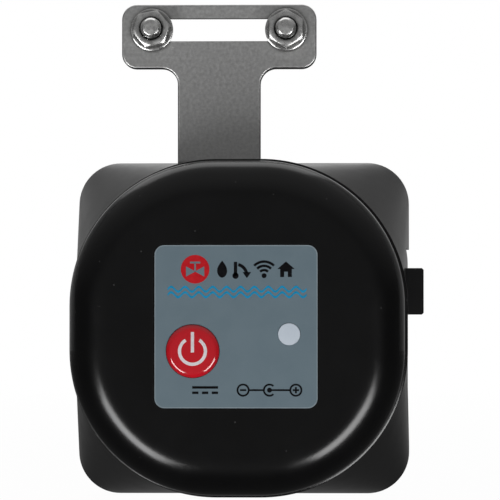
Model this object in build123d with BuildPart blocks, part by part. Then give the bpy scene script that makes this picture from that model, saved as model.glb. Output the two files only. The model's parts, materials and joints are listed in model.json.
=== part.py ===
from build123d import *

import os
from math import acos, cos, pi, radians, sin, sqrt, tan

os.makedirs("parts", exist_ok=True)

# A motor unit that clips onto a quarter turn water valve and turns its lever.
# X is right, Z is up and Y points away from the viewer, towards the pipe.
# The origin is on the output shaft's axis, on the rear face of the housing.
# Depths are given forward: how far in front of that rear face a thing lies.

# Driving sizes of the body, in millimetres
body_x = 6
cover_width = 75.8
cover_straight = 10.2
cover_depth = 18
shoulder = 9
housing_width = 79.5
housing_corner = 10
housing_depth = 42
wall = 2.5
floor_thickness = 3
seam_step = 0.4
lip_depth = 2
lip_thickness = 1.2
lip_gap = 0.15

# Clearances that pieces share
screw_gap = 0.2
thread_gap = 0.03
running_gap = 0.04
seat_gap = 0.1
cut_over = 1
hexagon_chamfer = 0.5

# Screws that hold the cover, driven from the back through long posts
post_inset = 3.57
post_radius = 4
post_web = 8
cover_screw_radius = 1.5
cover_screw_length = 16
cover_screw_head_radius = 2.7
cover_screw_head = 2

# Steel bracket behind the housing
bracket_thickness = 2.5
bracket_edge = 0.5
head_half_width = 23.5
head_top = 78.1
head_bottom = 62.6
head_corner = 3.6
stem_half_width = 10
stem_fillet = 3.8
pad_half = 20
pad_corner = 4
slot_z = 72
slot_width = 5.5
slot_length = 38.5
shaft_window_radius = 11
bracket_screw_offset = 16
bracket_screw_radius = 1.5
bracket_screw_length = 6.5
bracket_screw_head_radius = 2.8
bracket_screw_head = 2.1
screw_boss_radius = 3

# Strap bolts in the bracket's slot
strap_bolt_x = 16.2
strap_bolt_radius = 2.5
strap_head_flats = 8
strap_head = 3.5
strap_washer_radius = 5.1
strap_washer = 1
strap_nut = 4
strap_thread_out = 2.4
strap_thread_dome = 0.7
left_nut_turn = 11.5
right_nut_turn = 30

# Label, button and lamp on the face
label_width = 36.5
label_corner = 2.2
label_z = 0.3
label_thickness = 0.5
label_gap = 0.3
button_left = 9.7
button_z = -5.2
button_radius = 5.85
button_rim = 0.2
button_dome = 1
button_flange_radius = 7.2
button_flange = 0.8
button_gap = 0.2
window_right = 11.9
window_z = -1.4
window_radius = 2.45
window_gap = 0.05
window_proud = 0.2
window_flange_radius = 3.3
window_flange = 0.5

# Main board and what stands on it
board_margin = 2.4
board_straight = 14
board_thickness = 1.6
board_boss = 4.9
board_boss_radius = 2.6
board_screw_inset = 7
board_screw_z = 9
board_screw_radius = 1.2
board_screw_length = 5
board_screw_head_radius = 2.2
board_screw_head = 1.5
tact_width = 6
tact_height = 3
tact_plunger_radius = 1.7
tact_pocket = 2
tact_stand = 1
lamp_width = 3.5
lamp_length = 2.8
lamp_height = 1.9
radio_z = -21
radio_width = 22
radio_length = 15
radio_board = 0.8
radio_can = 2
radio_margin = 1.5
relay_width = 15.5
relay_length = 10.5
relay_height = 11.5
relay_spacing = 19
relay_x = 10
relay_z = -15
capacitor_x = -13.5
capacitor_z = -15
capacitor_radius = 4
capacitor_height = 11.5
connector_width = 7.5
connector_length = 6
connector_height = 6.5
power_connector_inset = 9
switch_connector_inset = 10
connector_z = 16

# Power socket in the right wall
socket_z = 8.7
socket_width = 11
socket_depth = 9
socket_back = 4
socket_length = 14
socket_proud = 3.25
socket_edge = 0.4
socket_bore_radius = 3.15
socket_bore_length = 9.5
socket_pin_radius = 1
socket_pin_tail = 3
socket_pin_tail_radius = 0.8
socket_pin_short = 0.8
side_flat_top = 18.8
side_flat_fade = -14
side_flat_bottom = -28
side_flat_length = 24
side_flat_cut = 0.45
side_notch_cut = 1.1
side_notch_length = 3.5

# Gear train
pressure = radians(25)
addendum_share = 1.0
dedendum_share = 1.25
backlash = 0.1
flank_points = 3
small_teeth = 12
output_teeth = 44
two_teeth = 36
one_teeth = 48
output_module = 0.8
two_module = 0.6
one_module = 0.5
two_direction = -20
one_direction = 95
pinion_direction = 140
output_gear_width = 5
two_width = 3
one_width = 2.5
output_to_two = 0.8
two_to_one = 1.2
one_to_plate = 1.5
axle_radius = 1.25
axle_boss_radius = 2.1
axle_seat = 1.6
hub_radius = 2.5
clip_radius = 2.6
clip_thickness = 0.5

# Gear plate and the posts it stands on
plate_thickness = 1.5
plate_pad_radius = 4.5
plate_post_radius = 2.6
plate_left_x = -9
plate_left_z = 26
plate_top_x = 21
plate_top_z = 28
plate_low_x = 20
plate_low_z = -26
plate_wing_x = -18
plate_wing_z = 8
plate_screw_radius = 1.25
plate_screw_length = 8
plate_screw_head_radius = 2.3
plate_screw_head = 1.6

# Output shaft with its bushes, cam, fork and fork screw
shaft_radius = 5
journal_radius = 3
journal_length = 4
bush_wall = 2
bush_flange = 0.8
bush_flange_radius = 8.5
top_bush_flange_radius = 6
shaft_shoulder = 6
shaft_square = 7
square_gap = 0.05
gear_side_gap = 0.2
cam_radius = 6.6
cam_reach = 9.2
cam_lobe_radius = 2
cam_width = 3
cam_back = 12.5
fork_base = 2.5
fork_inner = 30
fork_wall = 2.5
fork_length = 44
fork_depth = 20
fork_bend = 1.5
fork_screw_radius = 2
fork_screw_length = 10
fork_screw_head_radius = 3.5
fork_screw_head = 2.6
fork_washer_radius = 4.5
fork_washer = 0.8
clamp_screw_radius = 2.5
clamp_screw_length = 16
clamp_screw_head_flats = 8
clamp_screw_head = 3.5
clamp_screw_inset = 8
clamp_screw_back = 18
clamp_tip_out = 1

# Gear motor
motor_radius = 12.2
gearhead_length = 11
can_radius = 11.6
can_length = 17
motor_shaft_radius = 1.5
motor_shaft_inside = 2
motor_pilot_radius = 3.5
pinion_below = 0.4
motor_screw_spread = 8
motor_screw_turn = 50
motor_screw_radius = 1.25
motor_screw_length = 4.5
motor_screw_head_radius = 2.2
motor_screw_head = 1.4
terminal_spread = 6
terminal_width = 2.4
terminal_thickness = 0.6

# Limit switches beside the cam
switch_angles = [135, 225]
switch_inner = 11.2
switch_height = 6.5
switch_length = 12.8
switch_thickness = 5.8
lever_inner = 9.4
lever_thickness = 0.3
lever_width = 2
lever_reach = 5.5
lever_pivot = 5.6
lever_eye_radius = 0.8
lever_pin_radius = 0.3
lever_pin_gap = 0.05
ear_width = 1.5
ear_thickness = 0.4
ear_gap = 0.1
ear_reach = 2.2
tab_length = 2.8
tab_width = 1.2
tab_thickness = 0.5
tab_spacing = 4
switch_screw_radius = 1
switch_screw_spacing = 6.5
switch_screw_head_radius = 1.7
switch_screw_head = 1.1

# Leads
power_lead_radius = 0.7
switch_lead_radius = 0.8
lead_bend = 2.2
lead_gap = 0.2
power_lead_rise = 5.3
power_lead_inset = 8
power_lead_spread = 1.2
power_lead_high = 3.8
power_lead_shares = [0.43, 0.764]
switch_lead_insets = [[6.87, 6.25], [7.43, 4.52, 4.48]]
switch_lead_shares = [[0.034, 0.434], [0, 0.262, 0.606]]
switch_lead_heights = [[18, 17], [-16.5, -9, 6]]
switch_lead_end_share = 0.777

# Depths and places that follow from the sizes above
cover_corner = (cover_width - cover_straight) / 2
post_offset = cover_straight / 2 + (cover_corner - wall - post_inset) / sqrt(2)
board_width = cover_width - 2 * wall - 2 * board_margin
board_corner = (board_width - board_straight) / 2
board_screw_x = board_width / 2 - board_screw_inset
power_connector_x = body_x + board_width / 2 - power_connector_inset
switch_connector_x = body_x - board_width / 2 + switch_connector_inset
button_x = body_x - button_left
window_x = body_x + window_right
clamp_screw_z = fork_length / 2 - clamp_screw_inset
seam = housing_depth
face = seam + cover_depth
cover_inner_face = face - wall
board_front = cover_inner_face - board_boss
board_back = board_front - board_thickness
screw_seat = seam - post_web
output_gear_back = floor_thickness + bush_flange + gear_side_gap
output_gear_front = output_gear_back + output_gear_width
two_back = output_gear_front + output_to_two
two_front = two_back + two_width
one_back = two_front + two_to_one
one_front = one_back + one_width
plate_back = one_front + one_to_plate
plate_front = plate_back + plate_thickness
gearhead_front = plate_front + gearhead_length
can_front = gearhead_front + can_length
connector_back = board_back - connector_height
right_wall_x = body_x + housing_width / 2
socket_end_x = right_wall_x + socket_proud
socket_inner_x = socket_end_x - socket_length
socket_front = socket_back + socket_depth
socket_forward = (socket_back + socket_front) / 2


def facing(forward, x=0, z=0):
    """A plane this far forward of the rear face, which looks at the viewer."""
    return Plane(origin=(x, -forward, z), x_dir=(1, 0, 0), z_dir=(0, -1, 0))


def along(start, angle, distance):
    """The place at a distance and angle from a start, seen from the front."""
    turn = radians(angle)
    return start[0] + distance * cos(turn), start[1] + distance * sin(turn)


def square_places(offset, x=0):
    """Four places at the corners of a square around x."""
    return [(x + sx * offset, sz * offset) for sx in (-1, 1) for sz in (-1, 1)]


def stacked(steps, places=((0, 0),), bore=0):
    """Round steps on one axis at each place, each (from, to, radius)."""
    with BuildPart() as piece:
        for start, end, radius in steps:
            with BuildSketch(facing(start)):
                with Locations(*places):
                    Circle(radius)
                    if bore:
                        Circle(bore, mode=Mode.SUBTRACT)
            extrude(amount=end - start)
    return piece


def tooth_points(teeth, module, phase):
    """Corner points around a wheel with involute flanks."""
    pitch_radius = teeth * module / 2
    base_radius = pitch_radius * cos(pressure)
    tip_radius = pitch_radius + addendum_share * module
    root_radius = pitch_radius - dedendum_share * module
    start_radius = max(base_radius, root_radius)
    half_tooth = pi / (2 * teeth) - backlash / (2 * pitch_radius)
    pitch_roll = tan(pressure) - pressure
    flank = [(root_radius, half_tooth + pitch_roll)] if base_radius > root_radius else []
    for step in range(flank_points):
        radius = start_radius + (tip_radius - start_radius) * step / (flank_points - 1)
        slope = acos(min(1, base_radius / radius))
        flank.append((radius, half_tooth + pitch_roll - (tan(slope) - slope)))
    points = []
    for tooth in range(teeth):
        middle = radians(phase) + tooth * 2 * pi / teeth
        side = [(radius, middle - turn) for radius, turn in flank]
        side += [(radius, middle + turn) for radius, turn in reversed(flank)]
        points += [(radius * cos(turn), radius * sin(turn)) for radius, turn in side]
    return points


def meshing_phase(teeth, phase, next_teeth, direction):
    """Turns the next wheel so that its gap takes the first wheel's tooth."""
    return direction + 180 - (phase - direction) * teeth / next_teeth + 180 / next_teeth


def wheels(place, steps, hubs, bore):
    """Toothed wheels on one axis, each (from, to, teeth, module, phase)."""
    with BuildPart() as piece:
        for start, end, teeth, module, phase in steps:
            with BuildSketch(facing(start, *place)):
                with BuildLine():
                    Polyline(*tooth_points(teeth, module, phase), close=True)
                make_face()
            extrude(amount=end - start)
        for start, end, radius in hubs:
            with BuildSketch(facing(start, *place)):
                Circle(radius)
            extrude(amount=end - start)
        with BuildSketch(facing(0, *place)):
            Circle(bore)
        extrude(amount=face, mode=Mode.SUBTRACT)
    return piece


def slab(start, end, width, length, places):
    """Plain blocks between two depths, at each place."""
    with BuildPart() as piece:
        with BuildSketch(facing(start)):
            with Locations(*places):
                Rectangle(width, length)
        extrude(amount=end - start)
    return piece


def hexagon(start, flats, height, turn=0):
    """A hexagonal head or nut, its corners turned off at both ends."""
    with BuildPart() as disc:
        with BuildSketch(start):
            Circle(flats / 2 / cos(radians(30)))
        extrude(amount=height)
        chamfer(disc.edges().filter_by(GeomType.CIRCLE), hexagon_chamfer)
    with BuildPart() as piece:
        with BuildSketch(start):
            RegularPolygon(flats / 2, 6, major_radius=False, rotation=turn)
        extrude(amount=height)
        add(disc.part, mode=Mode.INTERSECT)
    return piece


# Places of the gears and of the motor
output_place = (0, 0)
two_distance = (output_teeth + small_teeth) * output_module / 2
one_distance = (two_teeth + small_teeth) * two_module / 2
pinion_distance = (one_teeth + small_teeth) * one_module / 2
two_place = along(output_place, two_direction, two_distance)
one_place = along(two_place, one_direction, one_distance)
motor_place = along(one_place, pinion_direction, pinion_distance)
plate_posts = [
    (plate_left_x, plate_left_z),
    (plate_left_x, -plate_left_z),
    (plate_top_x, plate_top_z),
    (plate_low_x, plate_low_z),
]
plate_wings = [(plate_wing_x, plate_wing_z), (plate_wing_x, -plate_wing_z)]
cover_posts = square_places(post_offset, body_x)
bracket_screw_places = square_places(bracket_screw_offset)
board_bosses = [(body_x + sx * board_screw_x, sz * board_screw_z) for sx in (-1, 1) for sz in (-1, 1)]
motor_screw_places = [along(motor_place, motor_screw_turn + turn, motor_screw_spread) for turn in (0, 180)]

# Base housing: straight walls from a square back to the round cover's outline
inner_width = housing_width - 2 * wall
mouth_width = cover_width - 2 * seam_step
mouth_corner = cover_corner - seam_step
inner_mouth = mouth_width - 2 * wall
inner_mouth_corner = mouth_corner - wall
with BuildPart() as base_housing:
    with BuildSketch(facing(0, body_x)):
        RectangleRounded(housing_width, housing_width, housing_corner)
    with BuildSketch(facing(seam, body_x)):
        RectangleRounded(mouth_width, mouth_width, mouth_corner)
    loft(ruled=True)
    with BuildSketch(facing(floor_thickness, body_x)):
        RectangleRounded(inner_width, inner_width, housing_corner - wall)
    with BuildSketch(facing(seam, body_x)):
        RectangleRounded(inner_mouth, inner_mouth, inner_mouth_corner)
    loft(ruled=True, mode=Mode.SUBTRACT)
    # posts for the cover screws, the gear plate and the bracket screws
    with BuildSketch(facing(0)):
        with Locations(*cover_posts):
            Circle(post_radius)
    extrude(amount=seam)
    with BuildSketch(facing(0)):
        with Locations(*plate_posts):
            Circle(plate_post_radius)
    extrude(amount=plate_back)
    with BuildSketch(facing(0)):
        with Locations(*bracket_screw_places):
            Circle(screw_boss_radius)
    extrude(amount=bracket_screw_length - bracket_thickness + seat_gap)
    with BuildSketch(facing(0)):
        with Locations(two_place):
            Circle(axle_boss_radius)
    extrude(amount=output_gear_back - gear_side_gap)
    with BuildSketch(facing(0)):
        with Locations(one_place):
            Circle(axle_boss_radius)
    extrude(amount=two_back - gear_side_gap)
    # seat under the power socket
    with BuildSketch(facing(0)):
        with Locations((socket_inner_x + socket_width / 2, socket_z)):
            Rectangle(socket_width / 2, socket_width)
    extrude(amount=socket_back)
    # flat on the right wall: a notch at its top, fading out at its bottom
    with BuildSketch(facing(0)):
        with BuildLine():
            notch_end = (right_wall_x - side_flat_cut, side_flat_top - side_notch_length)
            notch_top = (right_wall_x - side_notch_cut, side_flat_top)
            TangentArc(notch_end, notch_top, tangent=(0, 1))
            Polyline(
                notch_top,
                (right_wall_x + cut_over, side_flat_top),
                (right_wall_x + cut_over, side_flat_bottom),
                (right_wall_x, side_flat_bottom),
                (right_wall_x - side_flat_cut, side_flat_fade),
                notch_end,
            )
        make_face()
    extrude(amount=side_flat_length, mode=Mode.SUBTRACT)
    # window for the power socket
    with BuildSketch(facing(socket_back)):
        with Locations((right_wall_x, socket_z)):
            Rectangle(4 * wall, socket_width + 2 * seat_gap)
    extrude(amount=socket_depth + seat_gap, mode=Mode.SUBTRACT)
    # holes for the cover screws
    with BuildSketch(facing(0)):
        with Locations(*cover_posts):
            Circle(cover_screw_head_radius + screw_gap)
    extrude(amount=screw_seat, mode=Mode.SUBTRACT)
    with BuildSketch(facing(screw_seat)):
        with Locations(*cover_posts):
            Circle(cover_screw_radius + screw_gap)
    extrude(amount=post_web, mode=Mode.SUBTRACT)
    # holes for the plate screws, the bracket screws, the axles and the shaft bush
    with BuildSketch(facing(plate_back)):
        with Locations(*plate_posts):
            Circle(plate_screw_radius + thread_gap)
    extrude(amount=-plate_screw_length, mode=Mode.SUBTRACT)
    with BuildSketch(facing(0)):
        with Locations(*bracket_screw_places):
            Circle(bracket_screw_radius + thread_gap)
    extrude(amount=bracket_screw_length, mode=Mode.SUBTRACT)
    with BuildSketch(facing(floor_thickness - axle_seat)):
        with Locations(two_place, one_place):
            Circle(axle_radius + thread_gap)
    extrude(amount=two_back, mode=Mode.SUBTRACT)
    with BuildSketch(facing(0)):
        Circle(shaft_radius + bush_wall)
    extrude(amount=floor_thickness, mode=Mode.SUBTRACT)

# Front cover: a shell with a wide shoulder, screw bosses and a lip
lip_outer = inner_mouth - 2 * lip_gap
lip_corner = inner_mouth_corner - lip_gap
lip_bore = lip_outer - 2 * lip_thickness
lip_bore_corner = lip_corner - lip_thickness
with BuildPart() as cover_block:
    with BuildSketch(facing(seam, body_x)):
        RectangleRounded(cover_width, cover_width, cover_corner)
    extrude(amount=cover_depth)
    fillet(cover_block.faces().sort_by(Axis.Y)[0].edges(), shoulder)

with BuildPart() as cover_bosses:
    with BuildSketch(facing(seam)):
        with Locations(*cover_posts):
            Circle(post_radius)
    extrude(amount=cover_inner_face - seam)
    add(cover_block.part, mode=Mode.INTERSECT)

with BuildPart() as front_cover:
    add(cover_block.part)
    offset(amount=-wall, openings=front_cover.faces().sort_by(Axis.Y)[-1])
    add(cover_bosses.part)
    with BuildSketch(facing(seam)):
        with Locations(*cover_posts):
            Circle(cover_screw_radius + thread_gap)
    extrude(amount=screw_seat + cover_screw_length + seat_gap - seam, mode=Mode.SUBTRACT)
    with BuildSketch(facing(seam, body_x)):
        RectangleRounded(cover_width - wall, cover_width - wall, cover_corner - wall / 2)
        RectangleRounded(lip_bore, lip_bore, lip_bore_corner, mode=Mode.SUBTRACT)
        with Locations(*square_places(post_offset)):
            Circle(cover_screw_radius + thread_gap, mode=Mode.SUBTRACT)
    extrude(amount=lip_depth)
    with BuildSketch(facing(seam, body_x)):
        RectangleRounded(lip_outer, lip_outer, lip_corner)
        RectangleRounded(lip_bore, lip_bore, lip_bore_corner, mode=Mode.SUBTRACT)
        with Locations(*square_places(post_offset)):
            Circle(post_radius + lip_gap, mode=Mode.SUBTRACT)
    extrude(amount=-lip_depth)
    with BuildSketch(facing(board_front)):
        with Locations(*board_bosses):
            Circle(board_boss_radius)
            Circle(board_screw_radius + thread_gap, mode=Mode.SUBTRACT)
    extrude(amount=board_boss)
    # bay for the label, hole for the button and hole for the lamp's window
    with BuildSketch(facing(face, body_x, label_z)):
        RectangleRounded(label_width + 2 * label_gap, label_width + 2 * label_gap, label_corner + label_gap)
    extrude(amount=-label_thickness, mode=Mode.SUBTRACT)
    with BuildSketch(facing(face)):
        with Locations((button_x, button_z)):
            Circle(button_radius + button_gap)
        with Locations((window_x, window_z)):
            Circle(window_radius + window_gap)
    extrude(amount=-wall, mode=Mode.SUBTRACT)

# Face label, let into the cover
with BuildPart() as face_label:
    with BuildSketch(facing(face - label_thickness, body_x, label_z)):
        RectangleRounded(label_width, label_width, label_corner)
    extrude(amount=label_thickness)
    with BuildSketch(facing(face)):
        with Locations((button_x, button_z)):
            Circle(button_radius + button_gap)
        with Locations((window_x, window_z)):
            Circle(window_radius + window_gap)
    extrude(amount=-label_thickness, mode=Mode.SUBTRACT)

# Power button: a domed cap, with a flange that holds it behind the cover
button_flange_front = cover_inner_face - seat_gap
button_back = button_flange_front - button_flange
button_edge = face + button_rim
with BuildPart() as power_button:
    with BuildSketch(Plane((button_x, 0, button_z))):
        with BuildLine():
            Polyline(
                (0, -button_edge - button_dome),
                (0, -button_back),
                (button_flange_radius, -button_back),
                (button_flange_radius, -button_flange_front),
                (button_radius, -button_flange_front),
                (button_radius, -button_edge),
            )
            TangentArc((0, -button_edge - button_dome), (button_radius, -button_edge), tangent=(1, 0))
        make_face()
    revolve(axis=Axis((button_x, 0, button_z), (0, 1, 0)))

# Window over the lamp, held by its flange
light_window = stacked(
    [
        (cover_inner_face - window_flange, cover_inner_face, window_flange_radius),
        (cover_inner_face, face + window_proud, window_radius),
    ],
    [(window_x, window_z)],
)

# Main board, screwed to the cover's bosses
with BuildPart() as main_board:
    with BuildSketch(facing(board_back, body_x)):
        RectangleRounded(board_width, board_width, board_corner)
        with Locations(*square_places(post_offset)):
            Circle(post_radius + screw_gap, mode=Mode.SUBTRACT)
        with Locations(*[(x - body_x, z) for x, z in board_bosses]):
            Circle(board_screw_radius + screw_gap, mode=Mode.SUBTRACT)
    extrude(amount=board_thickness)

board_screws = stacked(
    [
        (board_back - board_screw_head, board_back, board_screw_head_radius),
        (board_back, board_back + board_screw_length, board_screw_radius),
    ],
    board_bosses,
)

# Push switch under the button, with its plunger
tact_front = board_front + tact_height
with BuildPart() as tact_switch:
    with BuildSketch(facing(board_front, button_x, button_z)):
        Rectangle(tact_width, tact_width)
    extrude(amount=tact_height)
    with BuildSketch(facing(tact_front, button_x, button_z)):
        Circle(tact_plunger_radius + seat_gap)
    extrude(amount=-tact_pocket, mode=Mode.SUBTRACT)

tact_plunger = stacked(
    [(tact_front - tact_stand, button_back, tact_plunger_radius)], [(button_x, button_z)]
)

# Lamp, radio module, relays, capacitor and the two connectors
status_lamp = slab(board_front, board_front + lamp_height, lamp_width, lamp_length, [(window_x, window_z)])
radio_front = board_front + radio_board
radio_module = slab(board_front, radio_front, radio_width, radio_length, [(body_x, radio_z)])
radio_shield = slab(
    radio_front,
    radio_front + radio_can,
    radio_width - 2 * radio_margin,
    radio_length - 2 * radio_margin,
    [(body_x, radio_z)],
)
relay_places = [(relay_x + side * relay_spacing / 2, relay_z) for side in (-1, 1)]
motor_relays = slab(board_back - relay_height, board_back, relay_width, relay_length, relay_places)
bulk_capacitor = stacked(
    [(board_back - capacitor_height, board_back, capacitor_radius)], [(capacitor_x, capacitor_z)]
)
power_connector = slab(
    connector_back, board_back, connector_width, connector_length, [(power_connector_x, connector_z)]
)
switch_connector = slab(
    connector_back, board_back, connector_width, connector_length, [(switch_connector_x, connector_z)]
)

# Power socket block, with its bore and centre pin
pin_start_x = socket_end_x - socket_bore_length - socket_pin_tail
pin_foot_x = socket_end_x - socket_bore_length + seat_gap
pin_end_x = socket_end_x - socket_pin_short
with BuildPart() as power_socket:
    with BuildSketch(facing(socket_back)):
        with Locations(((socket_inner_x + socket_end_x) / 2, socket_z)):
            Rectangle(socket_length, socket_width)
    extrude(amount=socket_depth)
    chamfer(power_socket.faces().sort_by(Axis.X)[-1].edges(), socket_edge)
    with BuildSketch(Plane(origin=(socket_end_x, -socket_forward, socket_z), z_dir=(-1, 0, 0))):
        Circle(socket_bore_radius)
    extrude(amount=socket_bore_length, mode=Mode.SUBTRACT)
    with BuildSketch(Plane(origin=(pin_start_x, -socket_forward, socket_z), z_dir=(1, 0, 0))):
        Circle(socket_pin_tail_radius + thread_gap)
    extrude(amount=socket_pin_tail, mode=Mode.SUBTRACT)

with BuildPart() as socket_pin:
    with BuildSketch(Plane(origin=(pin_start_x, -socket_forward, socket_z), z_dir=(1, 0, 0))):
        Circle(socket_pin_tail_radius)
    extrude(amount=pin_foot_x - pin_start_x)
    with BuildSketch(Plane(origin=(pin_foot_x, -socket_forward, socket_z), z_dir=(1, 0, 0))):
        Circle(socket_pin_radius)
    extrude(amount=pin_end_x - pin_foot_x)
    fillet(socket_pin.faces().sort_by(Axis.X)[-1].edges(), socket_pin_radius / 2)

# Cover screws
cover_screws = stacked(
    [
        (screw_seat - cover_screw_head, screw_seat, cover_screw_head_radius),
        (screw_seat, screw_seat + cover_screw_length, cover_screw_radius),
    ],
    cover_posts,
)

# Gear plate: reaches over every post and over both limit switches
with BuildPart() as gear_plate:
    with BuildSketch(facing(plate_back)):
        with Locations(*plate_posts, *plate_wings):
            Circle(plate_pad_radius)
        make_hull()
        with Locations(*cover_posts):
            Circle(post_radius + screw_gap, mode=Mode.SUBTRACT)
        with Locations(*plate_posts):
            Circle(plate_screw_radius + screw_gap, mode=Mode.SUBTRACT)
        with Locations(two_place, one_place):
            Circle(axle_radius + thread_gap, mode=Mode.SUBTRACT)
        with Locations(motor_place):
            Circle(motor_pilot_radius, mode=Mode.SUBTRACT)
        with Locations(*motor_screw_places):
            Circle(motor_screw_radius + screw_gap, mode=Mode.SUBTRACT)
        Circle(journal_radius + bush_wall, mode=Mode.SUBTRACT)
    extrude(amount=plate_thickness)
    for angle in switch_angles:
        middle = along((0, 0), angle, switch_inner + switch_height / 2)
        with BuildSketch(facing(plate_back, *middle)):
            with PolarLocations(switch_screw_spacing / 2, 2, start_angle=angle + 90):
                Circle(switch_screw_radius + thread_gap)
        extrude(amount=plate_thickness, mode=Mode.SUBTRACT)

plate_screws = stacked(
    [
        (plate_front, plate_front + plate_screw_head, plate_screw_head_radius),
        (plate_front - plate_screw_length, plate_front, plate_screw_radius),
    ],
    plate_posts,
)

# Bushes that carry the output shaft, in the floor and in the plate
floor_bush = stacked(
    [
        (0, floor_thickness, shaft_radius + bush_wall),
        (floor_thickness, floor_thickness + bush_flange, bush_flange_radius),
    ],
    bore=shaft_radius + running_gap,
)
plate_bush = stacked(
    [
        (plate_back - bush_flange, plate_back, top_bush_flange_radius),
        (plate_back, plate_front, journal_radius + bush_wall),
    ],
    bore=journal_radius + running_gap,
)

# Axles of the two middle gears, and the clip that keeps the lower one in place
gear_axles = stacked([(floor_thickness - axle_seat, plate_front, axle_radius)], [two_place, one_place])
axle_clip = stacked(
    [(two_front + gear_side_gap, two_front + gear_side_gap + clip_thickness, clip_radius)],
    [two_place],
    bore=axle_radius,
)

# Gears, each turned so that the teeth are in mesh at rest
output_phase = 0
two_small_phase = meshing_phase(output_teeth, output_phase, small_teeth, two_direction)
two_phase = 0
one_small_phase = meshing_phase(two_teeth, two_phase, small_teeth, one_direction)
one_phase = 0
pinion_phase = meshing_phase(one_teeth, one_phase, small_teeth, pinion_direction)
output_gear = wheels(
    output_place,
    [(output_gear_back, output_gear_front, output_teeth, output_module, output_phase)],
    [(output_gear_front, cam_back, cam_radius)],
    shaft_radius,
)
gear_two = wheels(
    two_place,
    [
        (output_gear_back, two_back, small_teeth, output_module, two_small_phase),
        (two_back, two_front, two_teeth, two_module, two_phase),
    ],
    [],
    axle_radius + running_gap,
)
gear_one = wheels(
    one_place,
    [
        (two_back, one_back, small_teeth, two_module, one_small_phase),
        (one_back, one_front, one_teeth, one_module, one_phase),
    ],
    [(one_front, plate_back - gear_side_gap, hub_radius)],
    axle_radius + running_gap,
)
motor_pinion = wheels(
    motor_place,
    [(one_back - pinion_below, one_front + pinion_below, small_teeth, one_module, pinion_phase)],
    [],
    motor_shaft_radius,
)

# Output shaft: journal, round body, shoulder and a square end for the fork
shaft_end = plate_front - seat_gap
journal_back = shaft_end - journal_length
with BuildPart() as output_shaft:
    with BuildSketch(facing(-shaft_shoulder)):
        Circle(shaft_radius)
    extrude(amount=journal_back + shaft_shoulder)
    with BuildSketch(facing(journal_back)):
        Circle(journal_radius)
    extrude(amount=journal_length)
    with BuildSketch(facing(-shaft_shoulder)):
        Rectangle(shaft_square, shaft_square)
    extrude(amount=-(fork_base - seat_gap))
    with BuildSketch(facing(-shaft_shoulder - fork_base)):
        Circle(fork_screw_radius + thread_gap)
    extrude(amount=fork_screw_length, mode=Mode.SUBTRACT)

# Position cam: one lobe, which meets a limit switch at each end of the turn
with BuildPart() as position_cam:
    with BuildSketch(facing(cam_back)):
        Circle(cam_radius)
        with PolarLocations(cam_reach - cam_lobe_radius, 1, start_angle=switch_angles[1]):
            Circle(cam_lobe_radius)
        Circle(shaft_radius, mode=Mode.SUBTRACT)
    extrude(amount=cam_width)

# Lever fork: a steel channel on the shaft's square, open to the pipe
fork_back = -shaft_shoulder
fork_outer = fork_inner + 2 * fork_wall
with BuildPart() as lever_fork:
    with BuildSketch(facing(fork_back)):
        Rectangle(fork_outer, fork_length)
    extrude(amount=-fork_depth)
    with BuildSketch(facing(fork_back - fork_base)):
        Rectangle(fork_inner, fork_length)
    extrude(amount=-fork_depth, mode=Mode.SUBTRACT)
    bend_edges = lever_fork.faces().sort_by(Axis.Y)[0].edges().filter_by(Axis.Z)
    fillet(bend_edges, fork_bend)
    with BuildSketch(facing(fork_back)):
        Rectangle(shaft_square + 2 * square_gap, shaft_square + 2 * square_gap)
    extrude(amount=-fork_base, mode=Mode.SUBTRACT)
    with BuildSketch(Plane(origin=(-fork_outer, clamp_screw_back, 0), z_dir=(1, 0, 0), x_dir=(0, 0, 1))):
        with Locations((clamp_screw_z, 0), (-clamp_screw_z, 0)):
            Circle(clamp_screw_radius + thread_gap)
    extrude(amount=2 * fork_outer, mode=Mode.SUBTRACT)

fork_washer_back = fork_back - fork_base
fork_washer_piece = stacked(
    [(fork_washer_back - fork_washer, fork_washer_back, fork_washer_radius)],
    bore=fork_screw_radius + screw_gap,
)
with BuildPart() as fork_screw:
    with BuildSketch(facing(fork_washer_back - fork_washer)):
        Circle(fork_screw_head_radius)
    extrude(amount=-fork_screw_head)
    with BuildSketch(facing(fork_washer_back - fork_washer)):
        Circle(fork_screw_radius)
    extrude(amount=fork_screw_length)
    with BuildSketch(facing(fork_washer_back - fork_washer - fork_screw_head)):
        RegularPolygon(fork_screw_head_radius / 2, 6)
    extrude(amount=fork_screw_head / 2, mode=Mode.SUBTRACT)

# Clamp screws: two through each wall of the fork
clamp_screws = {}
clamp_sides = [("left_upper", -1, 1), ("left_lower", -1, -1), ("right_upper", 1, 1), ("right_lower", 1, -1)]
for name, side, rise in clamp_sides:
    tip_x = side * (fork_inner / 2 - clamp_tip_out)
    tip = Plane(origin=(tip_x, clamp_screw_back, rise * clamp_screw_z), z_dir=(side, 0, 0), x_dir=(0, 0, 1))
    clamp_head = hexagon(tip.offset(clamp_screw_length), clamp_screw_head_flats, clamp_screw_head)
    with BuildPart() as clamp_screw:
        with BuildSketch(tip):
            Circle(clamp_screw_radius)
        extrude(amount=clamp_screw_length)
        chamfer(clamp_screw.edges().sort_by(Axis.X)[0 if side > 0 else -1], clamp_tip_out / 2)
        add(clamp_head.part)
    clamp_screws[f"clamp_screw_{name}"] = clamp_screw

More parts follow.
